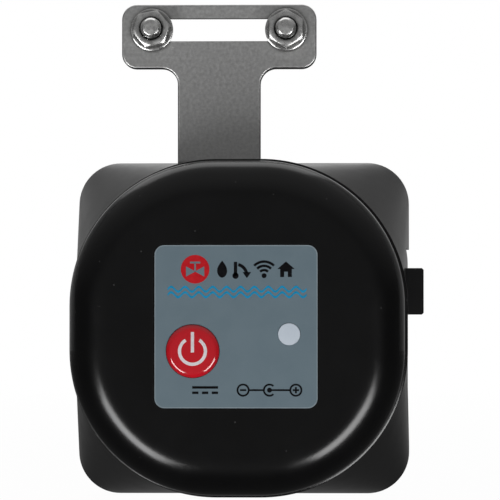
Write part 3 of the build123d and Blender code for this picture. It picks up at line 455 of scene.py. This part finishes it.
def nut_rings(flats, turn, bottom, top, bore):
    """A nut: corners turned off at both ends, a countersunk bore, open through the middle."""
    across = hexagon_radius(flats, turn)
    inner = flats / 2 * nut_cone_share
    return [
        ring(bore + 0.1, bottom), ring(bore + 0.5, bottom), ring(inner, bottom),
        ring(across, coned(flats, turn, bottom, nut_cone_share, up=-1)),
        ring(across, coned(flats, turn, top, nut_cone_share)), ring(inner, top),
        ring(bore + countersink, top), ring(bore + 0.5, top - 0.06), ring(bore, top - countersink_depth),
        ring(bore, bottom + 0.4), ring(bore + 0.1, bottom),
    ]


def head_rings(flats, turn, bottom, top):
    """A screw's hexagonal head: turned corners and a shallow dish on its outer face, a plain one under it."""
    across = hexagon_radius(flats, turn)
    inner = flats / 2 * head_cone_share
    return [
        ring(pinhole, bottom), ring(inner, bottom), ring(across, bottom + 0.12),
        ring(across, coned(flats, turn, top, head_cone_share)), ring(inner, top),
        ring(inner * 0.8, top - 0.02), ring(inner * 0.72, top - 0.16), ring(pinhole, top - 0.2),
    ]


nut_flats = 8.0
print("nut corner stands", round(hexagon_radius(nut_flats)(0), 2), "mm from its axis")

# %% [markdown]
# ## Threads
# A thread is a groove that climbs one pitch per turn. On stacked rings the radius at a height and angle
# follows a triangle wave of height over pitch less the turn. The rings lie close together so that the wave
# shows. A rod ends in a cone, which helps the nut to start, and in a low dome.

# %% Threaded rods
bolt_radius, thread_pitch = 2.5, 0.8
thread_depth_share, lead_slope, dome_height = 0.54, 0.6, 0.25
flank_steepness, root_width = 2.6, 0.2
rings_per_pitch, rod_points, dome_rings = 6, 48, 8


def thread_rings(radius, start, end, pitch, lead_in):
    """A rod with a rolled thread from start to end, a cone as its lead-in and a low dome on its end."""
    rim = end - dome_height
    rows = round((rim - start) / pitch * rings_per_pitch)
    depth = thread_depth_share * pitch
    rings = [ring(pinhole, start, rod_points)]
    for row in range(rows + 1):
        height = start + (rim - start) * row / rows
        cap = radius - lead_slope * max(0.0, height - end + lead_in)

        def groove(angle, height=height, cap=cap):
            phase = (height / pitch - angle / (2 * pi)) % 1
            wave = min(1.0, max(0.0, abs(phase - 0.5) * flank_steepness - root_width))
            return min(radius - depth * (1 - wave), cap)

        rings.append(ring(groove, height, rod_points))
    rim_radius = radius - lead_slope * (lead_in - dome_height)
    for step in range(1, dome_rings):
        angle = pi / 2 * step / dome_rings
        rings.append(ring(rim_radius * cos(angle), rim + dome_height * sin(angle), rod_points))
    rings.append(ring(pinhole, end, rod_points))
    return rings


print("thread is", round(thread_depth_share * thread_pitch, 2), "mm deep")

# %% Strap bolts, nuts and washers
# The left nut stopped at another angle than the right one, as in the photograph.
strap_x, slot_z, strap_lead_in, thread_overlap = 16.2, 72.0, 1.2, 0.28
washer_front, nut_front, bolt_front, plate_back, head_back = 1.0, 5.0, 7.4, -2.5, -6.0
washer_profile = [
    (2.7, 0.0), (4.9, 0.0), (5.06, 0.1), (5.1, 0.3), (5.1, 0.75), (5.04, 0.9), (4.88, 0.98), (4.6, 1.0),
    (2.75, 1.0), (2.7, 0.95), (2.7, 0.0),
]
for side, name, turn in ((-1, "left", 11.5), (1, "right", 30.0)):
    seat = from_face(side * strap_x, slot_z)
    rod = thread_rings(bolt_radius, plate_back, bolt_front, thread_pitch, strap_lead_in)
    head = head_rings(nut_flats, 0, 0, plate_back - head_back)
    turned_head = [[(-x, y, plate_back * mm - z) for x, y, z in row] for row in head]
    nut = nut_rings(nut_flats, turn, washer_front, nut_front, bolt_radius - thread_overlap)
    washer = [ring(radius, height) for radius, height in washer_profile]
    for piece, shells in (("bolt", [rod, turned_head]), ("nut", [nut]), ("washer", [washer])):
        ring_mesh(f"{piece}_{name}", shells, seat, zinc, f"strap_{name}",
                  [f"strap_{piece}_{name}"])
print("bolts, nuts and washers at x =", -strap_x, "and", strap_x, "mm")

# %% [markdown]
# ## Clamp screws of the fork
# Four screws behind the housing grip the valve's lever. They are the same kind of piece, laid along X, so a
# matrix that turns the piece's own height towards the side is all that changes.

# %% Clamp screws
clamp_head, head_overlap, clamp_lead_in = 3.5, 0.1, 0.5
for name in ("left_upper", "left_lower", "right_upper", "right_lower"):
    low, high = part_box(f"clamp_screw_{name}")
    side = 1 if name.startswith("right") else -1
    centre = (low + high) / 2
    tip_x = low.x if side > 0 else high.x
    length = (high.x - low.x) / mm
    seat = Matrix.Translation((tip_x, centre.y, centre.z)) @ Matrix.Rotation(side * pi / 2, 4, "Y")
    rod_length = length - clamp_head + head_overlap
    thread = thread_rings(bolt_radius, 0.0, rod_length, thread_pitch, clamp_lead_in)
    rod = [[(x, y, rod_length * mm - z) for x, y, z in row] for row in thread]
    head = head_rings(nut_flats, 0, length - clamp_head, length)
    ring_mesh(f"grip_{name}", [rod, head], seat, zinc, f"clamp_{name}",
              [f"clamp_screw_{name}"])
print("four clamp screws")

# %% [markdown]
# ## The push button
# The button is a low glossy red dome with a rolled edge. Reflections slide over such a form, so facets would
# show at once: it is turned from a fine profile. The mark on it is the usual sign for on and off, printed in
# white, and has to follow the dome.

# %% Button cap
low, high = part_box("power_button")
button_x, button_z, button_radius = (low.x + high.x) / 2 / mm, (low.z + high.z) / 2 / mm, 5.93
flange_radius, flange_height = (high.x - low.x) / 2 / mm, 0.8
room_for_sign = 0.02
dome_top, dome_back = -low.y / mm - room_for_sign, -high.y / mm
sag, roll_start, roll_radius, dome_steps = 0.3, 4.7, 1.9, 12
roll_slope = atan(2 * sag / roll_start)
roll_x = roll_start - roll_radius * sin(roll_slope)
roll_front = dome_top - sag - roll_radius * cos(roll_slope)


def dome(radius):
    """How far forward the button is at this distance from its middle: a low dome, then a rolled edge."""
    if radius < roll_start:
        return dome_top - sag * (radius / roll_start) ** 2
    return roll_front + sqrt(roll_radius ** 2 - (radius - roll_x) ** 2)


flange_front = dome_back + flange_height
cap = [ring(pinhole, dome_back), ring(flange_radius, dome_back), ring(flange_radius, flange_front),
       ring(button_radius, flange_front)]
radii = [button_radius - (button_radius - roll_start) * step / dome_steps for step in range(dome_steps + 1)]
radii += [roll_start * (1 - step / dome_steps) for step in range(1, dome_steps)]
cap += [ring(radius, dome(radius)) for radius in radii]
cap.append(ring(pinhole, dome_top))
ring_mesh("button_cap", [cap], from_face(button_x, button_z), button_red, "button",
          ["power_button"])
print("the edge rolls off to", round(dome(button_radius), 2), "mm forward")

# %% [markdown]
# ## Prints
# A print has almost no thickness, but it needs some, or it would fight with the surface under it. Each mark
# is a thin plate, built from strips: a strip has a left and a right edge, and a function lays its points on
# the label or on the dome.
#
# The real label has words and a trade sign. This one carries only generic marks in the same places and
# colours: a valve sign, small pictures, a water wave and the signs for direct current and plug polarity.

# %% Printing inks
paler_by, lifted_by = 1.15, 0.004


def ink(name, colour, roughness=(0.5, 0.6)):
    """A printed colour with a faint unevenness and hardly any shine."""
    paler = tuple(min(1.0, channel * paler_by + lifted_by) for channel in colour)
    return finish(name, colour, paler, roughness, grain_size=0.15, grain_depth=0.002, patch_size=1.5,
                  Specular_IOR_Level=0.06)


red_ink, black_ink = ink("red ink", (0.42, 0.009, 0.014)), ink("black ink", (0.002, 0.002, 0.003))
blue_ink, white_ink = ink("blue ink", (0.006, 0.22, 0.42)), ink("white ink", (0.62, 0.58, 0.6), (0.25, 0.35))
print("four inks")

# %% Strips
label_front = 60.0


def print_strips(name, strips, material, body, forward, thickness=0.03):
    """Thin plates from strips, each a list of (left, right) pairs of places (x, z) in millimetres."""
    points, faces = [], []
    for strip in strips:
        base = len(points)
        for left, right in strip:
            for x, z in (left, right):
                front = forward(x, z)
                points += [(x * mm, -(front + thickness) * mm, z * mm), (x * mm, -front * mm, z * mm)]
        for row in range(len(strip) - 1):
            a = base + row * 4
            faces += [(a, a + 4, a + 6, a + 2), (a + 1, a + 3, a + 7, a + 5),
                      (a, a + 1, a + 5, a + 4), (a + 2, a + 6, a + 7, a + 3)]
        last = base + (len(strip) - 1) * 4
        faces += [(base, base + 2, base + 3, base + 1), (last, last + 1, last + 3, last + 2)]
    mesh = bpy.data.meshes.new(name)
    mesh.from_pydata(points, [], faces)
    mesh.materials.append(material)
    mesh.update()
    piece = bpy.data.objects.new(name, mesh)
    bpy.context.scene.collection.objects.link(piece)
    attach(piece, body)
    return piece


def arc_strip(x, z, inner, outer, start=0, end=360, steps=48):
    """A ring or part of one around x, z. Angles are in degrees from the right, anticlockwise."""
    strip = []
    for step in range(steps + 1):
        angle = radians(start + (end - start) * step / steps)
        strip.append(tuple((x + radius * cos(angle), z + radius * sin(angle)) for radius in (inner, outer)))
    return strip


def bar_strip(start, end, width, steps=8):
    """A straight bar between two places."""
    run, rise = end[0] - start[0], end[1] - start[1]
    length = sqrt(run * run + rise * rise)
    nx, nz = -rise / length * width / 2, run / length * width / 2
    strip = []
    for step in range(steps + 1):
        x, z = start[0] + run * step / steps, start[1] + rise * step / steps
        strip.append(((x + nx, z + nz), (x - nx, z - nz)))
    return strip


def block_strip(x, first_z, first_half, last_z, last_half):
    """A block around x with straight sides. It may have another half width at its end."""
    return [((x - half_width, z), (x + half_width, z))
            for z, half_width in ((first_z, first_half), (last_z, last_half))]


def dot_strip(x, z, radius, steps=24):
    """A round dot: a ring whose hole is too small to see."""
    return arc_strip(x, z, 0.02, radius, 0, 360, steps)


def on_label(x, z):
    """The label is flat."""
    return label_front


print("strips are ready")

# %% Sign on the button
stroke, sign_radius, arc_start, arc_end, arc_steps = 0.72, 2.9, 122, 418, 72
bar_foot, bar_top, bar_steps = -0.26, 4.3, 16
sign_sunk, sign_thickness = 0.02, 0.035


def on_dome(x, z):
    """The button's sign follows its dome, and starts a little under it."""
    return dome(sqrt((x - button_x) ** 2 + (z - button_z) ** 2)) - sign_sunk


sign = [
    arc_strip(button_x, button_z, sign_radius - stroke / 2, sign_radius + stroke / 2,
              arc_start, arc_end, arc_steps),
    bar_strip((button_x, button_z + bar_foot), (button_x, button_z + bar_top), stroke, bar_steps),
]
print_strips("button_sign", sign, white_ink, "button", on_dome, sign_thickness)
print("sign on the button")

# %% [markdown]
# ## Lip of the cover
# The cover ends in a thin lip that lies on the housing. In the lower corners it draws a second, finer line
# of light outside the broad one. A curve with a bevel could draw it. Closed rings work here too: each ring is
# a line around the cover's rounded square, and the lip's face slopes more and more towards its edge.

# %% Cover lip
low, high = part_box("front_cover")
cover_x, cover_z = (low.x + high.x) / 2 / mm, (low.z + high.z) / 2 / mm
cover_half, cover_straight = (high.x - low.x) / 2 / mm, 10.2
lip_root, lip_out, lip_forward, lip_back, lip_steps = -0.3, 0.78, 0.5, 42.02, 12
lip_slope, lip_curve = 0.12, 0.21
lip_edge = [(0.06, 0.2), (0.08, 0.1), (0.08, 0.0)]


def cover_line(offset, forward, per_corner=48):
    """Closed line around the cover, this far outside its wall, as points in metres."""
    half_straight = cover_straight / 2
    radius = cover_half - half_straight + offset
    line = []
    for corner, (side, up) in enumerate(((1, 1), (-1, 1), (-1, -1), (1, -1))):
        for step in range(per_corner + 1):
            angle = pi / 2 * (corner + step / per_corner)
            line.append(((cover_x + side * half_straight + radius * cos(angle)) * mm, -forward * mm,
                         (cover_z + up * half_straight + radius * sin(angle)) * mm))
    return line


section = [(lip_root, lip_back), (lip_root, lip_back + lip_forward)]
for n in range(lip_steps + 1):
    out = lip_out * n / lip_steps
    section.append((out, lip_back + lip_forward - lip_slope * out - lip_curve * out ** 2))
section += [(lip_out + out, lip_back + forward) for out, forward in lip_edge]
section.append((lip_root, lip_back))
lip = [cover_line(offset, forward) for offset, forward in section]
ring_mesh("cover_lip", [lip], Matrix.Identity(4), satin_black, "housing")
print("lip stands out", round(lip_out + lip_edge[-1][0], 2), "mm")

# %% [markdown]
# ## The label
# The label lies in a shallow bay of the cover. A thin rim along its cut edge is printed lighter: a painted
# highlight where the edge would catch the light.

# %% Rim of the label
low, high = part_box("face_label")
label_x, label_z = (low.x + high.x) / 2 / mm, (low.z + high.z) / 2 / mm
label_half, label_corner, rim_width = (high.x - low.x) / 2 / mm, 2.2, 0.22
rim, corner_steps = [], 8
for corner in range(4):
    for step in range(corner_steps + 1):
        angle = radians(corner * 90 + step * 90 / corner_steps)
        centre_x = label_x + (label_half - label_corner) * (1 if corner in (0, 3) else -1)
        centre_z = label_z + (label_half - label_corner) * (1 if corner in (0, 1) else -1)
        rim.append(tuple((centre_x + r * cos(angle), centre_z + r * sin(angle))
                         for r in (label_corner - rim_width, label_corner)))
rim.append(rim[0])
print_strips("painted_highlight_label_edge", [rim], painted_rim_highlight, "housing", on_label)
print("label is", round(2 * label_half, 1), "mm wide")

# %% Valve sign in a red disc
# Two triangles, tip to tip, stand for a valve in a pipe drawing. A stem and a handle rise from the tips. The
# sign shows the label's own colour, a little above the red.
disc_x, disc_z, disc_radius, disc_steps = -3.15, 13.15, 3.2, 40
disc = []
for step in range(1, disc_steps):
    angle = pi * step / disc_steps
    across = disc_x + disc_radius * cos(angle)
    disc.append(((across, disc_z + disc_radius * sin(angle)), (across, disc_z - disc_radius * sin(angle))))
print_strips("valve_disc", [disc], red_ink, "housing", on_label)
half, tall, waist, pipe_z = 2.05, 1.15, 0.05, disc_z - 0.5
stem_top, stem_width = disc_z + 1.35, 0.36
handle_z, handle_half, handle_width, valve_thickness = disc_z + 1.5, 1.15, 0.42, 0.05
left_end, tips, right_end = [((disc_x + out, pipe_z + rise), (disc_x + out, pipe_z - rise))
                             for out, rise in ((-half, tall), (0.0, waist), (half, tall))]
bow = [
    [left_end, tips],
    [tips, right_end],
    bar_strip((disc_x, pipe_z), (disc_x, stem_top), stem_width),
    bar_strip((disc_x - handle_half, handle_z), (disc_x + handle_half, handle_z), handle_width),
]
print_strips("valve_sign", bow, label_film, "housing", on_label, valve_thickness)
print("valve sign")

# %% Row of small pictures
# A drop, a lever's quarter turn, radio waves and a house stand in place of the label's large black word.
row_z, drop_x, turn_x, wave_x, house_x = 13.1, 2.9, 7.4, 12.3, 17.2

# The drop is round below and drawn out to a point.
drop_foot, drop_height, drop_half, drop_rows = row_z - 1.85, 3.8, 1.6, 24
drop = []
for row in range(drop_rows + 1):
    share = row / drop_rows
    belly = sqrt(max(0.0, sin(pi * min(1.0, share * 0.62 + 0.38 * share ** 2))))
    half_width = drop_half * belly * (1 - share) ** 0.55 + 0.02
    height = drop_foot + drop_height * share
    drop.append(((drop_x - half_width, height), (drop_x + half_width, height)))

# The lever is a bar on a round hub, and an arrow turns down from it.
hub_x, hub_z, hub_radius, lever_top, lever_width = turn_x - 1.5, row_z - 1.4, 0.7, row_z + 1.7, 0.75
turn_inner, turn_outer, arrow_x, arrow_top, arrow_tip = 2.2, 2.9, turn_x + 1.05, row_z - 0.6, row_z - 1.95
lever = [
    arc_strip(hub_x, hub_z, turn_inner, turn_outer, 14, 76, 16),
    block_strip(arrow_x, arrow_top, 0.95, arrow_tip, 0.01),
    bar_strip((hub_x, hub_z), (hub_x, lever_top), lever_width),
    dot_strip(hub_x, hub_z, hub_radius),
]

# Three arcs spread over a dot.
source_z, wave_width = row_z - 1.4, 0.56
waves = [dot_strip(wave_x, source_z, 0.55, 20)]
waves += [arc_strip(wave_x, source_z, radius - wave_width / 2, radius + wave_width / 2, 45, 135, 20)
          for radius in (1.25, 2.2, 3.15)]

# The house is a roof over two walls, and a wall piece over its door.
eaves, ridge, foot, door_top = row_z + 0.1, row_z + 1.75, row_z - 1.7, row_z - 0.5
eaves_half, ridge_half, wall_out, wall_half, door_half = 1.95, 0.03, 0.86, 0.44, 0.42
house = [block_strip(house_x, eaves, eaves_half, ridge, ridge_half)]
house += [block_strip(house_x + side * wall_out, eaves, wall_half, foot, wall_half) for side in (-1, 1)]
house.append(block_strip(house_x, eaves, door_half, door_top, door_half))
print_strips("pictures", [drop, *lever, *waves, *house], black_ink, "housing", on_label)
print("four pictures")

# %% Water wave
# Two wavy lines run where the real label names the product in blue.
wave_start, wave_end, wave_z, wave_high, wave_length = -9.3, 21.8, 8.05, 0.55, 3.11
line_apart, line_half, line_steps = 0.62, 0.26, 160
strips = []
for lift in (-line_apart, line_apart):
    line = []
    for step in range(line_steps + 1):
        x = wave_start + (wave_end - wave_start) * step / line_steps
        z = wave_z + lift + wave_high * sin(2 * pi * (x - wave_start) / wave_length)
        line.append(((x, z + line_half), (x, z - line_half)))
    strips.append(line)
print_strips("water_wave", strips, blue_ink, "housing", on_label)
print("wave of", round((wave_end - wave_start) / wave_length), "crests")

# %% Signs for direct current and plug polarity
# Direct current is a long bar over three short ones. The plug's sign has a minus and a plus in rings, joined
# to the middle and the shell of the plug.
sign_z, dc_x, minus_x, plus_x = -13.9, -0.9, 7.6, 19.4
dc_half, dc_short_half, dc_rise, dc_width, dc_apart = 2.9, 0.7, 0.6, 0.55, 2.2
ring_inner, ring_outer, line_width, mark_half, mark_gap = 1.05, 1.45, 0.4, 0.7, 0.2
middle_x, dot_radius, inside_dot = (minus_x + plus_x) / 2, 0.55, 0.5


def level_bar(start_x, end_x, z, width):
    """A bar that lies level between two places."""
    return bar_strip((start_x, z), (end_x, z), width)


marks = [level_bar(dc_x - dc_half, dc_x + dc_half, sign_z + dc_rise, dc_width)]
for x in (dc_x - dc_apart, dc_x, dc_x + dc_apart):
    marks.append(level_bar(x - dc_short_half, x + dc_short_half, sign_z - dc_rise, dc_width))
for x in (minus_x, plus_x):
    marks.append(arc_strip(x, sign_z, ring_inner, ring_outer))
    marks.append(level_bar(x - mark_half, x + mark_half, sign_z, line_width))
for side in (1, -1):
    outer_end, inner_end = (plus_x, sign_z + side * mark_half), (plus_x, sign_z + side * mark_gap)
    marks.append(bar_strip(outer_end, inner_end, line_width))
marks += [
    level_bar(minus_x + ring_outer, middle_x - ring_outer, sign_z, line_width),
    level_bar(middle_x + inside_dot, plus_x - ring_outer, sign_z, line_width),
    arc_strip(middle_x, sign_z, ring_inner, ring_outer, 45, 315, 40),
    dot_strip(middle_x, sign_z, dot_radius),
]
print_strips("supply_signs", marks, black_ink, "housing", on_label)
print("supply signs")

# %% [markdown]
# ## Floor and backdrop
# A pale sheet runs flat under the object and curves up far behind it, as in a product studio, so no line
# shows where it turns. Seen directly it shines plain white. Near the object one part in fifty of it stays an
# ordinary surface, which lets a faint shadow show.
#
# Steel and glossy plastic have to mirror a bright backdrop too, or their edges would go black. In reflections
# only the middle of the backdrop is bright, and only from some way above the floor: lower down it would draw
# white lines along the black side walls. The floor is a part of its own, because reflections look past it to
# the lamps below.

# %% Paper that shines for the camera
paper = bpy.data.materials.new("pale paper")
paper.use_nodes = True
tree = paper.node_tree
shader = tree.nodes["Principled BSDF"]
shader.inputs["Roughness"].default_value = 0.9
fibres = place_group(tree, grain, Grain_size=2.0, Patch_size=60.0)
paper_tint = mixed(tree, fibres.outputs["Height"], (0.8, 0.8, 0.8), (0.84, 0.84, 0.84))
tree.links.new(paper_tint, shader.inputs["Base Color"])
glow = add_node(tree, "ShaderNodeEmission", Strength=1.0)
path = add_node(tree, "ShaderNodeLightPath")
spot = add_node(tree, "ShaderNodeSeparateXYZ")
tree.links.new(add_node(tree, "ShaderNodeTexCoord").outputs["Object"], spot.inputs[0])
behind = remap(tree, spot.outputs["Y"], 0.3, 1.5)
above_floor = remap(tree, spot.outputs["Z"], 0.3, 0.6, 0.08, 0.85)
below_top = remap(tree, spot.outputs["Z"], 0.5, 1.2, 1.0, 0.0)
level_with_lens = math_node(tree, "MULTIPLY", above_floor, below_top)
middle = remap(tree, math_node(tree, "ABSOLUTE", spot.outputs["X"]), 0.5, 1.2, 1.0, 0.0)
lit_part = math_node(tree, "MULTIPLY", behind, math_node(tree, "MULTIPLY", level_with_lens, middle))
mirrored = math_node(tree, "MAXIMUM", path.outputs["Is Glossy Ray"], path.outputs["Is Transmission Ray"])
mirrored = math_node(tree, "MULTIPLY", mirrored, lit_part)
seen = math_node(tree, "MAXIMUM", path.outputs["Is Camera Ray"], mirrored)
share_of_glow = remap(tree, spot.outputs["Y"], 0.1, 1.5, 0.98, 1.0)
blend = tree.nodes.new("ShaderNodeMixShader")
tree.links.new(math_node(tree, "MULTIPLY", seen, share_of_glow), blend.inputs[0])
tree.links.new(shader.outputs[0], blend.inputs[1])
tree.links.new(glow.outputs[0], blend.inputs[2])
tree.links.new(blend.outputs[0], tree.nodes["Material Output"].inputs["Surface"])
print("paper is ready")

# %% Floor and backdrop
floor_z = cad_box[0][2]
sheet_half, sheet_front, bend_start, bend_radius, wall_top, bend_steps = 4.0, -4.0, 1.9, 0.7, 3.0, 16
flat = [(y, 0.0) for y in (sheet_front, -1.0, 0.0, 1.0, bend_start)]
bend = []
for step in range(bend_steps + 1):
    angle = pi / 2 * step / bend_steps
    bend.append((bend_start + bend_radius * sin(angle), bend_radius * (1 - cos(angle))))
bend.append((bend_start + bend_radius, wall_top))


def sheet_part(name, rows):
    """One part of the paper sheet, from rows of its profile."""
    mesh = bpy.data.meshes.new(name)
    mesh.from_pydata([(x, y, floor_z + z) for y, z in rows for x in (-sheet_half, sheet_half)], [],
                     [(2 * n, 2 * n + 1, 2 * n + 3, 2 * n + 2) for n in range(len(rows) - 1)])
    mesh.polygons.foreach_set("use_smooth", [True] * len(mesh.polygons))
    mesh.materials.append(paper)
    part = bpy.data.objects.new(name, mesh)
    bpy.context.scene.collection.objects.link(part)
    part.visible_shadow = False
    part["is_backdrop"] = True
    return part


floor = sheet_part("studio_floor", flat)
sheet_part("studio_backdrop", bend)
floor.visible_glossy = False
print("floor at", round(floor_z / mm, 1), "mm")

# %% [markdown]
# ## Light
# Black plastic shows its light as reflections. The flat front should stay dark, so nothing bright stands near
# the camera. Two soft boxes stand low on the left and right: the cover's shoulder turns their light into two
# arcs in its lower corners. A wide soft box above and behind lights the tops and the bracket's edges.
#
# The object was laid on its back to be photographed, with lamps around its lower edge. Standing up, that is
# below the floor, so the sheet lets their light through.
#
# The sky fills in. It is dark towards the sides, which keeps the shell black, and lighter behind the lens for
# the bracket's steel, overhead, and beyond the object. The camera itself sees it as white.

# %% Room
world = bpy.data.worlds.new("room")
bpy.context.scene.world = world
world.use_nodes = True
sky = world.node_tree
way = add_node(sky, "ShaderNodeSeparateXYZ")
sky.links.new(add_node(sky, "ShaderNodeTexCoord").outputs["Generated"], way.inputs[0])
sideways = 0.05
behind_lens = remap(sky, way.outputs["Y"], -0.45, -0.95, sideways, 0.165)
overhead = remap(sky, way.outputs["Z"], 0.1, 0.9, sideways, 0.34)
beyond = remap(sky, way.outputs["Y"], 0.88, 1.0, sideways, 0.16)
level = math_node(sky, "MAXIMUM", behind_lens, math_node(sky, "MAXIMUM", overhead, beyond))
seen_directly = add_node(sky, "ShaderNodeLightPath").outputs["Is Camera Ray"]
level = math_node(sky, "MAXIMUM", level, seen_directly)
sky.links.new(level, sky.nodes["Background"].inputs["Strength"])
sky.nodes["Background"].inputs["Color"].default_value = (1, 1, 1, 1)
print("the sky is", sideways, "bright towards the sides")

# %% Soft boxes
target = Vector((6 * mm, -30 * mm, 15 * mm))


def soft_box(name, direction, distance, width, height, level, along):
    """An area lamp aimed at the object. Its level is how it lights a white card, and its width lies along
    a direction."""
    data = bpy.data.lights.new(name, "AREA")
    data.shape = "RECTANGLE"
    data.size, data.size_y = width, height
    data.energy = level * pi * pi * distance ** 2
    lamp = bpy.data.objects.new(name, data)
    lamp.location = target + Vector(direction).normalized() * distance
    back = Vector(direction).normalized()
    up = back.cross(Vector(along)).normalized()
    lamp.rotation_euler = Matrix((up.cross(back), up, back)).transposed().to_euler()
    bpy.context.scene.collection.objects.link(lamp)
    return lamp


for name, side, level in (("soft_box_left", -1, 0.46), ("soft_box_right", 1, 0.44)):
    soft_box(name, (side * 0.49, -0.735, -0.47), distance=0.75, width=0.4, height=0.2, level=level,
             along=(side, 0, 1))
soft_box("soft_box_top", (-0.15, 0.8, 1.0), distance=1.0, width=0.9, height=0.6, level=0.15, along=(1, 0, 0))
print("three soft boxes")

# %% [markdown]
# ## Camera
# The photograph was taken square on from some way off: the bracket behind the housing looks only a little
# smaller than the front. The distance comes from that ratio, and the lens from the object's size in the
# frame.

# %% Camera
sensor, lens = 36.0, 250.4
camera_x, camera_distance, aim_x, aim_z = 31.1 * mm, 838 * mm, 7.45 * mm, 18.8 * mm
data = bpy.data.cameras.new("camera")
data.sensor_width = sensor
data.lens = lens
data.clip_start, data.clip_end = 0.05, 20.0
camera = bpy.data.objects.new("camera", data)
camera.location = (camera_x, -camera_distance, 0.0)
aim = Vector((aim_x, 0.0, aim_z))
camera.rotation_euler = (aim - camera.location).to_track_quat("-Z", "Y").to_euler()
bpy.context.scene.collection.objects.link(camera)
bpy.context.scene.camera = camera
bpy.context.scene.view_settings.view_transform = "Standard"
print("field of view", round(2 * atan(sensor / 2 / lens) * 180 / pi, 2), "degrees")

# %% [markdown]
# ## Check of the size
# The dressed object must stay inside the CAD model's box, so the differences between the two boxes are
# printed.

# %% Size and finish
bpy.context.view_layer.update()
dressed_box = [list(corner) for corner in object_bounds()]
gaps = [round((b - a) / mm, 2) for one, two in zip(cad_box, dressed_box) for a, b in zip(one, two)]
print("box differs by", gaps, "mm")
